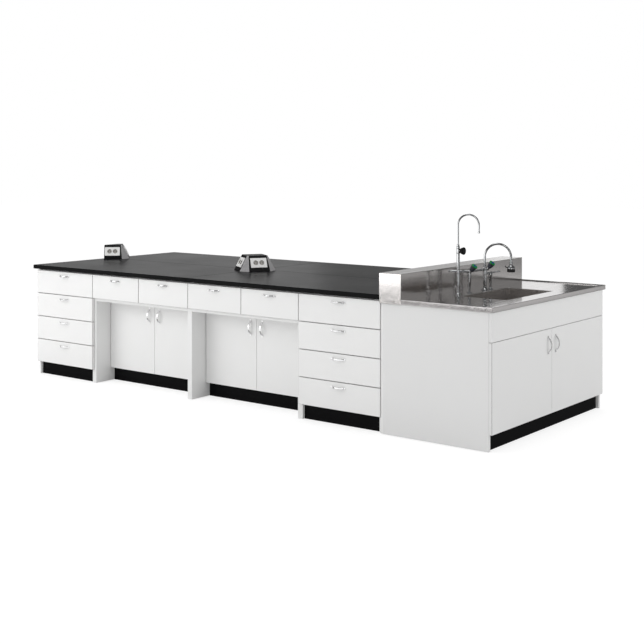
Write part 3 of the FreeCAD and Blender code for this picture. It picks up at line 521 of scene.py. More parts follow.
# %% Bow handle
BAR_ROUND, TAB_ROUND = 0.0018, 0.0011
FOOT_LIFT, TAB_LAP = 0.0012, 0.004
OUT_OF = {"front": (0, -1, 0), "back": (0, 1, 0), "sink": (1, 0, 0)}

bow, give = recipe("bow_handle", "Foot Rise Width Thickness Tab TabThickness")
calc = partial(math_node, bow)
sections = []
for thickness, radius in (("Thickness", BAR_ROUND), ("TabThickness", TAB_ROUND)):
    flat = add_node(bow, "CurvePrimitiveQuadrilateral", Width=give[thickness], Height=give["Width"])
    sections.append(add_node(bow, "FilletCurve", mode="POLY", Curve=flat[0], Count=3, Radius=radius)[0])
bar_section, tab_section = sections
arc = add_node(bow, "CurveArc", mode="POINTS", Resolution=28,
               Start=point(bow, calc("*", give["Foot"], -1), -FOOT_LIFT),
               Middle=point(bow, 0.0, calc("*", give["Rise"], -1)),
               End=point(bow, give["Foot"], -FOOT_LIFT))
parts = [sweep(bow, arc[0], bar_section)]
tab_height = calc("*", give["TabThickness"], -0.5)
for sign in (-1, 1):
    inner = calc("*", calc("-", give["Foot"], TAB_LAP), sign)
    outer = calc("*", give["Tab"], sign)
    line = add_node(bow, "CurvePrimitiveLine", Start=point(bow, inner, tab_height),
                    End=point(bow, outer, tab_height))
    parts.append(sweep(bow, line[0], tab_section))
close_recipe(bow, give, *parts)
handle_mesh = grow(bow, handle_steel, Foot=0.0448, Rise=0.024, Width=0.012, Thickness=0.006, Tab=0.056,
                   TabThickness=0.003)


def at(x, y, z):
    return Matrix.Translation((x, y, z))


def turned_by(degrees, axis):
    return Matrix.Rotation(math.radians(degrees), 4, axis)


def add_handle(piece, name, solid, upright):
    """Puts the handle where its solid is: out of the face, lying or upright."""
    low, high = box_of(solid)
    outward = OUT_OF[name.split("_")[0]]
    turn = Matrix.Rotation(math.atan2(outward[1], outward[0]) + math.radians(90), 4, "Z")
    tip = turned_by(90, "Y") if upright else Matrix()
    middle = (low + high) / 2
    back = [(low if way > 0 else high)[i] if way else middle[i] for i, way in enumerate(outward)]
    add_mesh(piece, handle_mesh, at(*back) @ turn @ tip)


print("handle faces", len(handle_mesh.polygons))

# %% [markdown]
# A drawer is a laminate front screwed on a box of thinner boards, carried by two steel slides.
# The front's eased edges are painted dark grey, painted shade that deepens the thin gaps between fronts.
# The slide is a folded channel, so its flank gets a long shallow hollow.
# Order of the solids: front, two sides, two ends, floor, two slides, handle.

# %% Drawers
FLAT_FACE = 0.995
LEAF_EASE, BOX_EASE, CHANNEL_EASE = 0.0014, 0.0007, 0.0006
CHANNEL_LIP, CHANNEL_HOLLOW = 0.004, 0.003


def add_channel(piece, solid):
    """A folded steel channel: the two long flanks are pressed in."""
    part = bmesh.new()
    low, high = box_of(solid)
    size = Matrix.Diagonal((*(high - low), 1))
    bmesh.ops.create_cube(part, size=1, matrix=Matrix.Translation((low + high) / 2) @ size)
    flanks = sorted(part.faces, key=lambda f: f.calc_area())[-2:]
    bmesh.ops.inset_individual(part, faces=flanks, thickness=CHANNEL_LIP, depth=-CHANNEL_HOLLOW)
    ease_edges(part, CHANNEL_EASE)
    add_part(piece, part, zinc)


def add_sorted(piece, solid, ease, choose, *finishes):
    """One solid in several finishes: the rule picks a finish by the way each face looks."""
    part = solid_mesh(solid, ease, 3)
    part.normal_update()
    for face in part.faces:
        face.material_index = choose(face.normal)
    add_part(piece, part, *finishes)


def on_eased_edge(normal):
    return int(max(abs(c) for c in normal) < FLAT_FACE)


drawers = [name for name in NODES if "_drawer_" in name and BODY_OF[name] == name]
for name in drawers:
    piece = new_piece()
    front, *boards, left_slide, right_slide, handle = solids_of(name)
    # the eased edges take the dark finish, painted shade for the gaps between fronts
    add_sorted(piece, front, LEAF_EASE, on_eased_edge, laminate, laminate_core)
    for solid in boards:
        add_part(piece, solid_mesh(solid, BOX_EASE), box_board)
    for solid in (left_slide, right_slide):
        add_channel(piece, solid)
    add_handle(piece, name, handle, upright=False)
    settle(name, piece)
print("drawers", len(drawers))

# %% [markdown]
# A door is one laminate leaf with two cup hinges let into its back and an upright handle.
# Its eased edges are painted dark the same way, painted shade for the gaps. The sink unit's laminate is a
# shade darker, painted shade for light falling off towards that end.

# %% Doors
FITTING_EASE = 0.0012
doors = [name for name in NODES if "door_" in name]
for name in doors:
    piece = new_piece()
    leaf, *cups, handle = solids_of(name)
    # the sink doors take the darker laminate copy, painted shade
    leaf_finish = sink_laminate if name.startswith("sink") else laminate
    # the door's eased edges take the same dark finish, painted shade for the gaps
    add_sorted(piece, leaf, LEAF_EASE, on_eased_edge, leaf_finish, laminate_core)
    for solid in cups:
        add_part(piece, solid_mesh(solid, FITTING_EASE), zinc)
    add_handle(piece, name, handle, upright=True)
    settle(name, piece)
print("doors", len(doors))

# %% [markdown]
# The fixed boards are cut from the same laminate. The black kick boards stand back at the floor,
# the worktop is four thick slabs with well rounded edges, and the sink top is folded from steel sheet.
# The slab sides take a darker, duller copy of the black, painted shade; the splash top a lighter, less
# metallic steel, painted light.
# Runner rails are the same kind of folded channel as the drawer slides.

# %% Cabinets, worktop and sink top
SLAB_EASE, SPLASH_EASE = 0.0028, 0.0022
FIXED_BOARDS = {
    "side_panels": ("laminate", laminate, 0.0012),
    "cabinet_bottoms": ("laminate", laminate, 0.0008),
    "cabinet_backs": ("laminate", laminate, 0.0006),
    "top_rails": ("laminate", laminate, 0.0008),
    "desk_drawer_frames": ("laminate", laminate, 0.001),
    # the sink unit's boards and apron take the darker laminate copy, painted shade
    "sink_cabinet_boards": ("laminate", sink_laminate, 0.001),
    "sink_apron": ("laminate", sink_laminate, 0.0014),
    "kick_boards": ("plinth", plinth_black, 0.001),
    "sink_deck": ("stainless", deck_steel, 0.0018),
}
TOPPED_BOARDS = {
    # the slab sides take the darker copy of the black finish, painted shade
    "worktop_slabs": ("worktop", SLAB_EASE, worktop_edge, worktop_black),
    # the splash top takes the lighter copy of the steel, painted light
    "splash_back": ("stainless", SPLASH_EASE, splash_steel, lit_splash_top),
}


def on_top(normal):
    return int(normal.z > FLAT_FACE)


def eased_copy(node, finish, ease, steps=2):
    """A piece with a copy of every solid of a node, in one finish."""
    piece = new_piece()
    for solid in solids_of(node):
        add_part(piece, solid_mesh(solid, ease, steps), finish)
    return piece


for name, (slot, made_of, ease) in FIXED_BOARDS.items():
    settle(name, eased_copy(name, made_of, ease, 3))
for name, (slot, ease, sides, top) in TOPPED_BOARDS.items():
    piece = new_piece()
    for solid in solids_of(name):
        add_sorted(piece, solid, ease, on_top, sides, top)
    settle(name, piece)
piece = new_piece()
for solid in solids_of("drawer_runners"):
    add_channel(piece, solid)
settle("drawer_runners", piece)
print("boards and sheets", len(FIXED_BOARDS) + len(TOPPED_BOARDS))

# %% [markdown]
# Turned parts are spun from an outline of radius and height in millimetres, with its corners rounded.
# Small repeated ones are made once and then set on a list of points by one recipe.
# A levelling foot is a moulded pad under a threaded stem; the stem's thread is a stack of turned ridges.

# %% Turned parts and feet
CORNER_SHARE = 0.45
PAD_TOP, THREAD_START, THREAD_PITCH, THREAD_ROOT, THREAD_CREST = 8, 14, 4, 4.2, 5


def rounded(outline, ease, steps=3):
    """Rounds the inner corners of an outline of (radius, height) pairs."""
    outline = [Vector(corner) for corner in outline]
    soft = [outline[0]]
    for before, here, after in zip(outline, outline[1:], outline[2:]):
        reach = min(ease, (before - here).length * CORNER_SHARE, (after - here).length * CORNER_SHARE)
        start = here + (before - here).normalized() * reach
        end = here + (after - here).normalized() * reach
        for i in range(steps + 1):
            t = i / steps
            soft.append(start * (1 - t) ** 2 + here * (2 * t * (1 - t)) + end * t ** 2)
    return soft + [outline[-1]]


def turned(outline, ease, sides):
    """A turned part, in metres: the outline, closed to the axis if it is open, spun about Z."""
    (first, low), (last, high) = outline[0], outline[-1]
    if (first, low) != (last, high):
        outline = [(0, low)] * (first > 0) + outline + [(0, high)] * (last > 0)
    part = bmesh.new()
    corners = [part.verts.new((r / 1000, 0, z / 1000)) for r, z in rounded(outline, ease)]
    edges = [part.edges.new(pair) for pair in zip(corners, corners[1:])]
    bmesh.ops.spin(part, geom=corners + edges, cent=(0, 0, 0), axis=(0, 0, 1), angle=math.tau, steps=sides)
    bmesh.ops.remove_doubles(part, verts=part.verts, dist=1e-6)
    bmesh.ops.recalc_face_normals(part, faces=part.faces)
    return part


def add_turned(piece, outline, finish, place=Matrix(), ease=0.6, sides=32):
    part = turned(outline, ease, sides)
    part.transform(place)
    add_part(piece, part, finish)


def pattern(name, outline, ease, sides):
    """Keeps a turned part as a mesh object that recipes can copy; it is not shown itself."""
    mesh = bpy.data.meshes.new(name)
    part = turned(outline, ease, sides)
    part.to_mesh(mesh)
    part.free()
    return bpy.data.objects.new(name, mesh)


foot_solids = solids_of("levelling_feet")
foot_middles = [sum(box_of(solid), Vector((0, 0, 0))) / 2 for solid in foot_solids[::2]]
foot_spots = [(x, y, 0) for x, y, z in foot_middles]
stem_top = box_of(foot_solids[1])[1].z * 1000
ridges = [corner for z in range(THREAD_START, int(stem_top) - THREAD_PITCH, THREAD_PITCH)
          for corner in ((THREAD_ROOT, z), (THREAD_CREST, z + THREAD_PITCH / 2))]
foot_pad = pattern("foot_pad", [(21, 0), (22, 3), (20, PAD_TOP)], 1.5, 24)
stem = [(9, PAD_TOP), (9, 13), (THREAD_ROOT, 13.5), *ridges, (THREAD_ROOT, stem_top)]
foot_stem = pattern("foot_stem", stem, 0.2, 12)
piece = new_piece()
add_mesh(piece, grow(repeat, rubber, foot_spots, Pattern=foot_pad))
add_mesh(piece, grow(repeat, zinc, foot_spots, Pattern=foot_stem))
settle("levelling_feet", piece)
print("feet", len(foot_spots))

# %% [markdown]
# Hinge plates are fixed with countersunk screws, two for each plate. A plate lies flat on a panel,
# so its screws go in from the side that no panel touches.

# %% Hinge plates and screws
SCREW_SHARES, TOUCH = (0.25, 0.75), 0.001
QUARTER = math.pi / 2
SCREW_TURNS = {(0, 1): (0, QUARTER, 0), (0, -1): (0, -QUARTER, 0),
               (1, 1): (-QUARTER, 0, 0), (1, -1): (QUARTER, 0, 0)}

screw = [(1.2, 0.1), (1.4, 0.9), (3.6, 0.9), (4.2, 0), (4.2, -0.6)]
screw_head = pattern("screw_head", screw, 0.2, 12)
panels = [box_of(solid) for node in ("side_panels", "sink_cabinet_boards") for solid in solids_of(node)]
screw_spots = {}
for solid in solids_of("hinge_plates"):
    low, high = box_of(solid)
    thin = min((0, 1), key=lambda i: high[i] - low[i])
    wide = 1 - thin
    panel_below = any(abs(panel_high[thin] - low[thin]) < TOUCH and panel_low[wide] < high[wide]
                      and panel_high[wide] > low[wide] for panel_low, panel_high in panels)
    for share in SCREW_SHARES:
        spot = (low + high) / 2
        spot[thin] = high[thin] if panel_below else low[thin]
        spot[wide] = low[wide] + (high[wide] - low[wide]) * share
        screw_spots.setdefault((thin, 1 if panel_below else -1), []).append(spot)
piece = eased_copy("hinge_plates", zinc, FITTING_EASE)
for side, spots in screw_spots.items():
    add_mesh(piece, grow(repeat, zinc, spots, Pattern=screw_head, Turn=SCREW_TURNS[side]))
settle("hinge_plates", piece)
print("hinge screws", sum(len(spots) for spots in screw_spots.values()))

# %% [markdown]
# The sink bowl is pressed and welded from sheet: upright walls with rounded corners, a cove at the bottom
# and a floor that falls to the drain. It is built as one stack of rings, from the square rim
# over a rolled lip and down the walls to the round hole, and then back up the outside.

# %% Sink bowl
MOUTH_LOW, MOUTH_HIGH = box_of(solids_of("sink_basin")[0])
DRAIN = (MOUTH_LOW + MOUTH_HIGH) / 2
RIM, GROUND = MOUTH_HIGH.z, MOUTH_LOW.z
GAUGE, LIP, COVE, FALL = 0.002, 0.003, 0.02, 0.005
RIM_INSET, RIM_CORNER, RIM_EDGE, RIM_DROP = 0.0002, 0.028, 0.0006, 0.0001
MOUTH_CORNER, FLOOR_CORNER_GAIN, OUTER_CORNER = 0.026, 0.0004, 0.025
DISH_RADIUS, DISH_RISE, HOLE_RADIUS = 0.05, 0.0012, 0.0205
UNDERSIDE_INSET, UNDERSIDE_CORNER = 0.026, 0.024
CORNER_STEPS = 7


def bowl_ring(inset, radius, height, square=False):
    """A ring of points: a rectangle with round corners, set in from the bowl's outer walls."""
    points = []
    x0, x1 = MOUTH_LOW.x + inset, MOUTH_HIGH.x - inset
    y0, y1 = MOUTH_LOW.y + inset, MOUTH_HIGH.y - inset
    corners = ((x1 - radius, y1 - radius, 0), (x0 + radius, y1 - radius, 90),
               (x0 + radius, y0 + radius, 180), (x1 - radius, y0 + radius, 270))
    for x, y, start in corners:
        for i in range(CORNER_STEPS + 1):
            angle = math.radians(start + 90 * i / CORNER_STEPS)
            c, n = math.cos(angle), math.sin(angle)
            reach = radius / max(abs(c), abs(n)) if square else radius
            points.append((x + reach * c, y + reach * n, height))
    return points


def drain_ring(ring, radius, height):
    """The same number of points on a circle around the drain."""
    spread = [Vector((x - DRAIN.x, y - DRAIN.y)).normalized() * radius for x, y, z in ring]
    return [(DRAIN.x + v.x, DRAIN.y + v.y, height) for v in spread]


def add_rings(piece, rings, finish, place=Matrix()):
    """Joins a closed stack of rings with faces."""
    part = bmesh.new()
    loops = [[part.verts.new(spot) for spot in ring] for ring in rings]
    for low, high in zip(loops, loops[1:] + loops[:1]):
        for i in range(len(low)):
            j = (i + 1) % len(low)
            part.faces.new((low[i], low[j], high[j], high[i]))
    bmesh.ops.recalc_face_normals(part, faces=part.faces)
    part.transform(place)
    add_part(piece, part, finish)


rings = [bowl_ring(RIM_INSET, RIM_CORNER, RIM - drop, square=True) for drop in (RIM_EDGE, RIM_DROP)]
for turn in range(0, 91, 18):
    over, down = LIP * math.sin(math.radians(turn)), LIP * (1 - math.cos(math.radians(turn)))
    rings.append(bowl_ring(GAUGE + over, MOUTH_CORNER - over, RIM - RIM_DROP - down))
for turn in range(0, 91, 15):
    inward, up = COVE * (1 - math.cos(math.radians(turn))), COVE * (1 - math.sin(math.radians(turn)))
    rings.append(bowl_ring(GAUGE + LIP + inward, MOUTH_CORNER - LIP + FLOOR_CORNER_GAIN * turn / 90,
                           GROUND + FALL + GAUGE + up))
for radius, height in ((DISH_RADIUS, GAUGE + DISH_RISE), (HOLE_RADIUS, GAUGE), (HOLE_RADIUS, 0)):
    rings.append(drain_ring(rings[-1], radius, GROUND + height))
rings.append(bowl_ring(UNDERSIDE_INSET, UNDERSIDE_CORNER, GROUND))
for turn in range(75, -1, -15):
    inward, up = COVE * (1 - math.cos(math.radians(turn))), COVE * (1 - math.sin(math.radians(turn)))
    rings.append(bowl_ring(LIP + inward, OUTER_CORNER, GROUND + up))
rings.append(bowl_ring(LIP, OUTER_CORNER, RIM - 2 * LIP))
piece = new_piece()
add_rings(piece, rings, bowl_steel)
settle("sink_basin", piece)
print("bowl rings", len(rings))

# %% [markdown]
# Under the bowl hang the moulded waste parts: a strainer flange, a tail pipe with its clamp nut,
# a bottle trap whose cup unscrews, and the pipe to the back.
# The strainer's spokes are copies around a circle, and the pipe is a round section swept along
# a chain of points, with its corners bent; the necks of the taps are made in the same way.

# %% Sink waste
TRAP_TOP_DROP, TRAP_LOW_DROP, TRAP_RADIUS, OUTLET_RADIUS = 0.08, 0.19, 0.034, 0.016


def copies_around(tree, count, radius, shape, **turn):
    """Copies of a shape on a circle."""
    circle = add_node(tree, "CurvePrimitiveCircle", Resolution=count, Radius=radius)
    stations = add_node(tree, "CurveToPoints", mode="EVALUATED", Curve=circle[0])
    return add_node(tree, "InstanceOnPoints", Points=stations[0], Instance=shape, **turn)[0]


bent, give = recipe("bent_pipe", "Radius Bend")
line = add_node(bent, "MeshToCurve", Mesh=give["Geometry"])
curve = add_node(bent, "FilletCurve", mode="POLY", Curve=line[0], Count=16, Radius=give["Bend"],
                 Limit_Radius=True)
section = add_node(bent, "CurvePrimitiveCircle", Resolution=24, Radius=give["Radius"])
close_recipe(bent, give, sweep(bent, curve[0], section[0]))


def pipe(spots, radius, bend, finish):
    """A round bar or pipe along a chain of points, with bent corners."""
    links = [(i, i + 1) for i in range(len(spots) - 1)]
    return grow(bent, finish, spots, links, Radius=radius, Bend=bend)


spokes, give = recipe("strainer_spokes", "Inner Outer Width Height", Count="Int")
calc = partial(math_node, spokes)
length = calc("-", give["Outer"], give["Inner"])
reach = calc("*", calc("+", give["Outer"], give["Inner"]), 0.5)
spoke = add_node(spokes, "MeshCube", Size=point(spokes, length, give["Width"], give["Height"]),
                 Vertices_X=2, Vertices_Y=2, Vertices_Z=2)
here = add_node(spokes, "InputPosition")
turn = add_node(spokes, "FunctionNodeAlignRotationToVector", axis="X", Vector=here[0])
close_recipe(spokes, give, copies_around(spokes, give["Count"], reach, spoke[0], Rotation=turn[0]))

waste_low, waste_high = box_of(solids_of("sink_waste")[0])
tail, trap, cup = ((GROUND + height) * 1000 for height in (GAUGE, -TRAP_TOP_DROP, -TRAP_LOW_DROP))
outlet = (trap - (trap - cup) / 3) / 1000
flange = [(16, tail), (42, tail), (42, tail + 2), (38, tail + 4), (24, tail + 3.4), (16, tail),
          (16, tail - 20), (16, tail)]
hub = [(6, tail + 1.5), (6, tail - 1.5)]
tail_pipe = [(16.2, tail - 1), (20, tail - 2), (20, trap + 30), (26, trap + 28), (26, trap + 6),
             (20, trap + 4), (20, trap), (16.2, trap), (16.2, tail - 1)]
bottle = [(30, trap), (34, trap - 8), (34, trap - 70), (36, trap - 72), (36, trap - 88), (33, trap - 92),
          (30, cup + 4), (26, cup)]
outlet_nut = [(16.2, 0), (22, 1), (22, 20), (18, 24), (16.2, 24), (16.2, 0)]
drain_line = at(DRAIN.x, DRAIN.y, 0)
piece = new_piece()
add_turned(piece, flange, drain_grey, drain_line, 0.8, 40)
add_mesh(piece, grow(spokes, drain_grey, Count=6, Inner=0.005, Outer=0.0175, Width=0.003, Height=0.003),
         at(DRAIN.x, DRAIN.y, tail / 1000))
add_turned(piece, hub, drain_grey, drain_line)
add_turned(piece, tail_pipe, drain_grey, drain_line, 1.2, 40)
add_turned(piece, bottle, drain_grey, drain_line, 3, 40)
to_back = [(DRAIN.x, DRAIN.y, outlet), (waste_low.x, DRAIN.y, outlet)]
add_mesh(piece, pipe(to_back, OUTLET_RADIUS, 0.01, drain_grey))
backward = at(DRAIN.x - TRAP_RADIUS, DRAIN.y, outlet) @ turned_by(-90, "Y")
add_turned(piece, outlet_nut, drain_grey, backward, 1.2)
settle("sink_waste", piece)
print("waste from", round(waste_low.z, 3), "to", round(waste_high.z, 3))

# %% [markdown]
# The taps are turned brass under chrome. They stand in a row along the splash back: flanges on the deck,
# columns and tapered legs, and bars with valves and a barbed nozzle for a rubber hose.
# The valve knobs are fluted so that wet fingers can grip them:
# their recipe takes a cylinder, tapers it and pushes shallow waves into its side.

# %% Tap parts
TAP_LINE, DECK_TOP = 1.509, 0.824
TALL_ALONG, SWAN_ALONG, SIDE_VALVE = -0.286, 0.048, -0.198
SPOUT_TURN, KNOB_LEAN = 30, 40
SWAN_KNOB_OUT, SWAN_KNOB_UP, SIDE_KNOB_UP, KNOB_FOOT = 0.014, 0.130, 0.124, 0.0223
NUT_RADIUS, NUT_LENGTH = 9.4, 10
BARB_START, BARB_PITCH = 23, 9
ALONG_X = turned_by(90, "Y")
TO_FRONT = turned_by(-SPOUT_TURN, "Z")
TALL_TAP = at(TAP_LINE, TALL_ALONG, DECK_TOP) @ turned_by(SPOUT_TURN, "Z")
SWAN_TAP = at(TAP_LINE, SWAN_ALONG, DECK_TOP) @ turned_by(SPOUT_TURN, "Z")
TAP_ROW = at(TAP_LINE, SWAN_ALONG, DECK_TOP) @ turned_by(90, "Z")
SIDE_KNOB = at(TAP_LINE, SWAN_ALONG + SIDE_VALVE, DECK_TOP + SIDE_KNOB_UP) @ turned_by(KNOB_LEAN, "Y")
SWAN_KNOB = SWAN_TAP @ at(SWAN_KNOB_OUT, 0, SWAN_KNOB_UP) @ TO_FRONT @ turned_by(KNOB_LEAN, "Y")

barbs, give = recipe("hose_barbs", "Pitch Wide Narrow", Count="Int")
barb = add_node(barbs, "MeshCone", fill_type="NGON", Vertices=20, Radius_Top=give["Narrow"],
                Radius_Bottom=give["Wide"], Depth=math_node(barbs, "*", give["Pitch"], 0.96))
row = add_node(barbs, "MeshLine", Count=give["Count"], Offset=point(barbs, z=give["Pitch"]))
chain = add_node(barbs, "InstanceOnPoints", Points=row[0], Instance=barb["Mesh"])
close_recipe(barbs, give, chain[0])

fluted, give = recipe("fluted_grip", "Foot Head Length Flutes Depth")
calc = partial(math_node, fluted)
blank = add_node(fluted, "MeshCylinder", fill_type="NGON", Vertices=96, Side_Segments=10, Radius=1.0,
                 Depth=1.0)
here = add_node(fluted, "ShaderNodeSeparateXYZ", add_node(fluted, "InputPosition")[0])
rise = calc("+", here["Z"], 0.5)
flare = calc("*", calc("-", give["Head"], give["Foot"]), calc("^", rise, 0.5))
angle = calc("*", calc("ARCTAN2", here["Y"], here["X"]), calc("*", give["Flutes"], 0.5))
wave = calc("^", calc("ABSOLUTE", calc("COSINE", angle)), 4.0)
ends = calc("*", calc("*", rise, calc("-", 1.0, rise)), 4.0)
hollow = calc("*", calc("*", wave, calc("^", ends, 0.5)), give["Depth"])
radius = calc("-", calc("+", give["Foot"], flare), hollow)
moved = point(fluted, calc("*", here["X"], radius), calc("*", here["Y"], radius),
              calc("*", rise, give["Length"]))
close_recipe(fluted, give, add_node(fluted, "SetPosition", Geometry=blank["Mesh"], Position=moved)[0])


def add_nut(piece, place, start):
    """A hexagon nut around a bar along the local Z; its start is in millimetres."""
    hexagon = [(NUT_RADIUS, start), (NUT_RADIUS, start + NUT_LENGTH)]
    add_turned(piece, hexagon, chrome, place, sides=6)


def add_nozzle(piece, place, length):
    """A barbed hose nozzle along the local Z; its length is in millimetres."""
    stem = [(6.5, 0), (6.5, 10), (4, 12), (3.4, 14), (3.4, length - 1), (2, length)]
    add_turned(piece, stem, chrome, place, 0.5, 20)
    count = int((length - BARB_START) / BARB_PITCH)
    grip = grow(barbs, chrome, Count=count, Pitch=BARB_PITCH / 1000, Wide=0.0048, Narrow=0.0036)
    add_mesh(piece, grip, place @ at(0, 0, BARB_START / 1000))


def add_leg(piece, place, height):
    """A vase-shaped leg with a flange on the deck and a domed head around the bar it carries."""
    vase = [(17, 0), (17, 4), (13, 6.5), (9, 9), (8.2, 14), (8.8, 30), (10.6, 32), (10.6, 35), (9.4, 37),
            (12.2, 80), (14, height - 16), (13.4, height - 5), (10.5, height + 2.5), (6, height + 6.5),
            (0, height + 7.6)]
    add_turned(piece, vase, chrome, place, 1)


def add_valve(piece, place):
    """The valve boss under a knob: a hexagon with a round collar and a gland."""
    gland = [(8, 0), (9, 4), (9, 15), (8, 19), (6.5, 21), (5.5, 22)]
    add_turned(piece, gland, chrome, place, 0.7)
    add_turned(piece, [(9.9, 7), (9.9, 14)], chrome, place, 0.5, 6)


def add_knob(piece, place):
    """A fluted grip with a green band and a blue index in its top."""
    foot = place @ at(0, 0, KNOB_FOOT)
    grip = grow(fluted, knob_navy, Foot=0.0125, Head=0.0198, Length=0.036, Flutes=8.0, Depth=0.0018)
    band = [(12, 35.8), (20, 35.8), (20, 41), (18.6, 42), (10.6, 42), (10.2, 41.4), (0, 41.4), (0, 35.8),
            (12, 35.8)]
    index = [(10, 41), (10, 42.8), (8, 43.4), (0, 43.5)]
    add_mesh(piece, grip, foot)
    add_turned(piece, band, ring_green, foot, 0.9)
    add_turned(piece, index, index_blue, foot)


print("tap recipes", barbs.name, fluted.name)

# %% [markdown]
# The tall tap serves pure water. A needle valve with a round black knob sits high on the column,
# and a short cross bar with a ball end sits lower down. Its thin spout turns in the column top,
# so the spout, the knob and the body are separate pieces.

# %% Tall tap
TALL_REACH, TALL_NECK_LOW, TALL_NECK_TOP, TALL_MOUTH = 0.129, 0.312, 0.5015, 0.385
CROSS_UP, NEEDLE_UP, NEEDLE_KNOB_OUT = 0.146, 0.275, 0.0153
column = [(18, 0), (18, 5), (14, 8), (12, 10), (12, 16), (10.5, 18), (10.5, 130), (12.4, 134), (12.4, 158),
          (10.5, 162), (10.5, 258), (11.8, 262), (11.8, 288), (10.5, 292), (10.5, 301), (9, 305)]
cross_bar = [(4, -62), (6.6, -60), (7.6, -56), (6.6, -52), (4.6, -50), (4.6, -45), (8, -41), (8, 56),
             (6.6, 58), (6.6, 73), (4, 76)]
bonnet = [(6, 0), (6, 11), (7.4, 12), (7.4, 14.4), (5, 15), (4, 15.2), (4, 31)]
knob_top = [(4, 23.8), (23.4, 23.8), (24, 25.5), (22.5, 28.6), (17, 30), (0, 30), (0, 23.8), (4, 23.8)]
collar = [(8, 305.3), (8, 314), (7, 316), (5.6, 317.3)]
tip = [(5.6, 396), (6.6, 394), (6.6, 387), (5.4, 385), (4, 385), (3.6, 388)]
cross = TALL_TAP @ at(0, 0, CROSS_UP) @ ALONG_X
needle = TALL_TAP @ at(0, 0, NEEDLE_UP) @ TO_FRONT @ ALONG_X
needle_knob = needle @ at(0, 0, NEEDLE_KNOB_OUT)

piece = new_piece()
add_turned(piece, column, chrome, TALL_TAP, 1.2)
add_turned(piece, cross_bar, chrome, cross, 1)
add_nut(piece, cross, 30)
add_turned(piece, bonnet, chrome, needle, 0.5)
settle("tall_tap_body", piece)

piece = new_piece()
grip = grow(fluted, black_moulding, Foot=0.010, Head=0.0236, Length=0.024, Flutes=10.0, Depth=0.0016)
add_mesh(piece, grip, needle_knob)
add_turned(piece, knob_top, black_moulding, needle_knob, 1.4, 40)
settle("needle_valve_knob", piece)

piece = new_piece()
add_turned(piece, collar, chrome, TALL_TAP)
neck = pipe([(0, 0, TALL_NECK_LOW), (0, 0, TALL_NECK_TOP), (TALL_REACH, 0, TALL_NECK_TOP),
             (TALL_REACH, 0, TALL_MOUTH)], 0.0055, 0.0644, chrome)
add_mesh(piece, neck, TALL_TAP)
add_turned(piece, tip, chrome, TALL_TAP @ at(TALL_REACH, 0, 0), 0.4, 24)
settle("tall_tap_spout", piece)
print("tall neck faces", len(neck.polygons))

# %% [markdown]
# The second tap's body runs along the row: a bar with a hose nozzle on one side and a side valve
# on the other, each on its own leg. Both of its knobs lean to the front.

# %% Swan-neck tap body
HOSE_HEIGHT, VALVE_HEIGHT, HOSE_LEG = 106, 134, 0.072
NOZZLE_FOOT, NOZZLE_LENGTH = 0.088, 112
column = [(22, 0), (22, 6), (16, 10), (13.5, 13), (13.5, 20), (12, 23), (12, 98), (13.5, 102), (13.5, 128),
          (12, 132), (12, 146), (11, 150)]
hose_bar = [(8, 0), (8, 72), (7, 74), (7, 88)]
valve_bar = [(5.5, -232), (7.4, -230), (8, -226), (8, -216), (6.8, -214), (6.8, -40), (8, -38), (8, -8)]
to_hose = TAP_ROW @ at(0, 0, HOSE_HEIGHT / 1000) @ ALONG_X
to_valve = TAP_ROW @ at(0, 0, VALVE_HEIGHT / 1000) @ ALONG_X

piece = new_piece()
add_turned(piece, column, chrome, SWAN_TAP, 1.2)
add_turned(piece, hose_bar, chrome, to_hose)
add_nut(piece, to_hose, 74)
add_nozzle(piece, to_hose @ at(0, 0, NOZZLE_FOOT), NOZZLE_LENGTH)
add_leg(piece, TAP_ROW @ at(HOSE_LEG, 0, 0), HOSE_HEIGHT)
add_turned(piece, valve_bar, chrome, to_valve, 0.8)
for start in (-180, -52):
    add_nut(piece, to_valve, start)
add_leg(piece, TAP_ROW @ at(SIDE_VALVE, 0, 0), VALVE_HEIGHT)
add_valve(piece, SWAN_KNOB)
add_valve(piece, SIDE_KNOB)
settle("swan_tap_body", piece)

for name, place in (("swan_tap_knob", SWAN_KNOB), ("side_valve_knob", SIDE_KNOB)):
    piece = new_piece()
    add_knob(piece, place)
    settle(name, piece)
print("nozzle length", NOZZLE_LENGTH, "mm")

# %% [markdown]
# The stout swan neck ends in a spray head: a chrome bell with a black rubber face,
# small nozzles in rings, and a lever at its side that changes from jet to spray.

# %% Swan neck and spray head
SWAN_REACH, SWAN_NECK_LOW, SWAN_NECK_TOP, SWAN_MOUTH = 0.168, 0.156, 0.299, 0.165
JETS_UP = 0.1192
SPRAY_RINGS = ((6, 0.005), (12, 0.010), (18, 0.015))
collar = [(11, 150.3), (11, 158), (9.4, 161), (7.2, 162.3)]
bell = [(9, 186), (11, 183), (11, 170), (9.5, 166), (12, 161), (22, 154), (26, 146), (26, 139), (24, 137)]
spray_face = [(25.4, 137), (26, 135), (26, 121), (24, 118), (21.5, 118), (21, 119.6)]
lever = [(-0.024, 0, 0.147), (-0.033, 0, 0.149), (-0.037, 0, 0.158)]
head = SWAN_TAP @ at(SWAN_REACH, 0, 0)

rosette, give = recipe("spray_rings", "Ring", Count="Int")
jet = add_node(rosette, "MeshCone", fill_type="NGON", Vertices=8, Radius_Top=0.0013, Radius_Bottom=0.0008,
               Depth=0.002)
close_recipe(rosette, give, copies_around(rosette, give["Count"], give["Ring"], jet["Mesh"]))

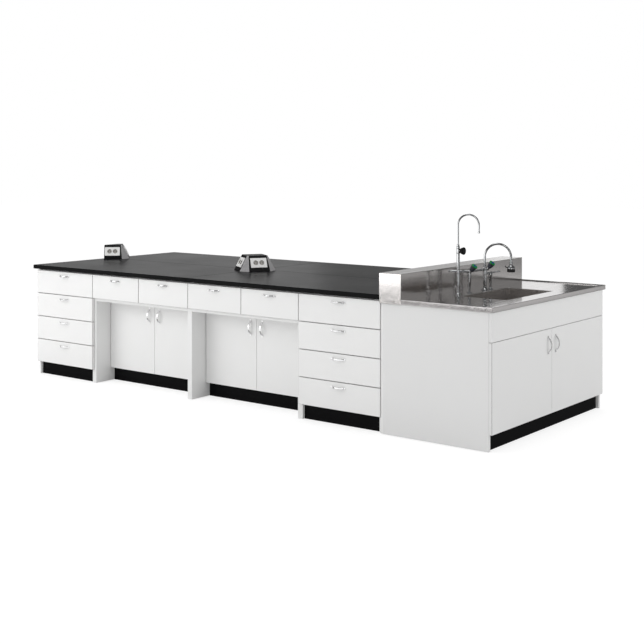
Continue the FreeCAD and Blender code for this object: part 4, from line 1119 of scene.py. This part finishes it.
piece = new_piece()
add_turned(piece, collar, chrome, SWAN_TAP, 0.7)
neck = pipe([(0, 0, SWAN_NECK_LOW), (0, 0, SWAN_NECK_TOP), (SWAN_REACH, 0, SWAN_NECK_TOP),
             (SWAN_REACH, 0, SWAN_MOUTH)], 0.007, 0.0839, chrome)
add_mesh(piece, neck, SWAN_TAP)
add_turned(piece, bell, chrome, head, 1.6, 40)
add_turned(piece, spray_face, rubber, head, 0.8, 40)
for count, ring in SPRAY_RINGS:
    add_mesh(piece, grow(rosette, rubber, Count=count, Ring=ring), head @ at(0, 0, JETS_UP))
add_mesh(piece, pipe(lever, 0.003, 0.005, black_moulding), head)
settle("swan_tap_spout", piece)
print("swan neck faces", len(neck.polygons))

# %% [markdown]
# A power box is a black moulded housing with ribbed grey strips over its cut corners.
# The strips taper with the box, so each rib is only as long as the strip is wide enough for it.

# %% Power boxes
BOXES = ((at(-0.386, -0.043, 0.85), 57, (0, 90, 180, 270)), (at(-2.011, 0.031, 0.85), 45, (0, 90)))
SHELL_EASE = 0.0022
RIB_PITCH, RIB_MARGIN, RIB_RADIUS = 0.005, 0.003, 0.0009
RIB_START, RIB_END, LEAST_RIB = 0.02, 0.97, 0.1

settle("power_box_shells", eased_copy("power_box_shells", black_moulding, SHELL_EASE, 3))

ribbing, give = recipe("strip_ribs", "Radius")
line = add_node(ribbing, "MeshToCurve", Mesh=give["Geometry"])
bead = add_node(ribbing, "CurvePrimitiveCircle", Resolution=6, Radius=give["Radius"])
close_recipe(ribbing, give, sweep(ribbing, line[0], bead[0]))


def rib_lines(solid):
    """Upright lines on the outer face of a corner strip, each as long as the tapering face allows."""
    corners = {tuple(c * GRID for c in spot) for triangle in solid for spot in triangle}
    low_corner, high_corner = box_of(solid)
    centre = min((box[0].translation for box in BOXES), key=lambda c: (c - low_corner).length)
    outer = []
    for level in (low_corner.z, high_corner.z):
        ring = [Vector(c) for c in corners if abs(c[2] - level) < TOUCH]
        outer += sorted(ring, key=lambda c: ((c - centre).xy.length, c.x))[-2:]
    low_a, low_b, high_a, high_b = outer
    half_low, half_high = (low_b - low_a).length / 2, (high_b - high_a).length / 2
    across, climb = (low_b - low_a).normalized(), (high_a + high_b - low_a - low_b) / 2
    lines = []
    count = int(half_low / RIB_PITCH)
    for i in range(-count, count + 1):
        share = min(RIB_END, (half_low - abs(i * RIB_PITCH) - RIB_MARGIN) / (half_low - half_high))
        if share > LEAST_RIB:
            foot = (low_a + low_b) / 2 + across * (i * RIB_PITCH) + climb * RIB_START
            lines += [foot, foot + climb * (share - RIB_START)]
    return lines


piece = eased_copy("power_box_corners", grey_strip, FITTING_EASE)
for solid in solids_of("power_box_corners"):
    lines = rib_lines(solid)
    links = [(i, i + 1) for i in range(0, len(lines), 2)]
    add_mesh(piece, grow(ribbing, grey_strip, lines, links, Radius=RIB_RADIUS))
settle("power_box_corners", piece)
print("ribs on the last strip", len(lines) // 2)

# %% [markdown]
# Each sloping face of a power box has a white plate with two sockets. A socket is an insert of its own:
# a thin square frame, a round well, two pin holes and two sprung earth clips.

# %% Sockets
LEAN = math.radians(28)
BOX_HALF, PLATE_LIFT, PLATE_SINK = 0.13755, 0.031, 0.004
PLATE_LEAN = at(0, PLATE_LIFT * math.sin(LEAN) + PLATE_SINK * math.cos(LEAN) - BOX_HALF,
                PLATE_LIFT * math.cos(LEAN) - PLATE_SINK * math.sin(LEAN)) @ Matrix.Rotation(-LEAN, 4, "X")
OUTWARD = turned_by(90, "X")
SOCKET_REACH, SOCKET_OUT, SOCKET_UP = 0.0225, -0.008, 0.0375
FRAME_STEPS = ((0.0222, -0.0005), (0.0222, 0.0005), (0.0216, 0.0005), (0.0216, -0.0005))
WELL_RING = [(18.6, -1), (18.6, 0.7), (20.2, 0.5), (20.2, -1), (18.6, -1)]
WELL = [(18.45, -5.95), (18.45, -0.3), (18.1, -0.3), (18.1, -5.6)]
PIN_HOLE = [(3.3, -5.7), (3.3, -5.5), (2.9, -5.1), (2.5, -5.5)]
PIN_REACH = 0.0095
CLIP = ((0.0178, -0.0058), (0.0165, -0.003), (0.0178, -0.0004))


def add_insert(piece, place):
    """One socket: frame line, a well liner painted grey and black pin holes, both painted shade, and earth
    clips; local Z points out of the plate.
    """
    rings = [[(half * x, half * y, height) for x, y in SQUARE] for half, height in FRAME_STEPS]
    add_rings(piece, rings, socket_white, place)
    add_turned(piece, WELL_RING, socket_white, place, 0.3)
    # the well liner takes the grey finish, painted shade inside the well
    add_turned(piece, WELL, well_grey, place, 0.1)
    # painted shade: each pin hole is a small black ring on the closed well floor, which stands in for the
    # dark depth of a hole
    for side in (-1, 1):
        add_turned(piece, PIN_HOLE, black_moulding, place @ at(side * PIN_REACH, 0, 0), 0.1, 12)
    for side in (-1, 1):
        add_mesh(piece, pipe([(0, side * y, z) for y, z in CLIP], 0.0013, 0.002, contact_brass), place)


piece = eased_copy("socket_plates", socket_white, FITTING_EASE)
for box_place, box_turn, face_turns in BOXES:
    for face_turn in face_turns:
        face = box_place @ turned_by(box_turn + face_turn, "Z") @ PLATE_LEAN
        for side in (-1, 1):
            add_insert(piece, face @ at(side * SOCKET_REACH, SOCKET_OUT, SOCKET_UP) @ OUTWARD)
settle("socket_plates", piece)
print("socket plates", len(solids_of("socket_plates")))
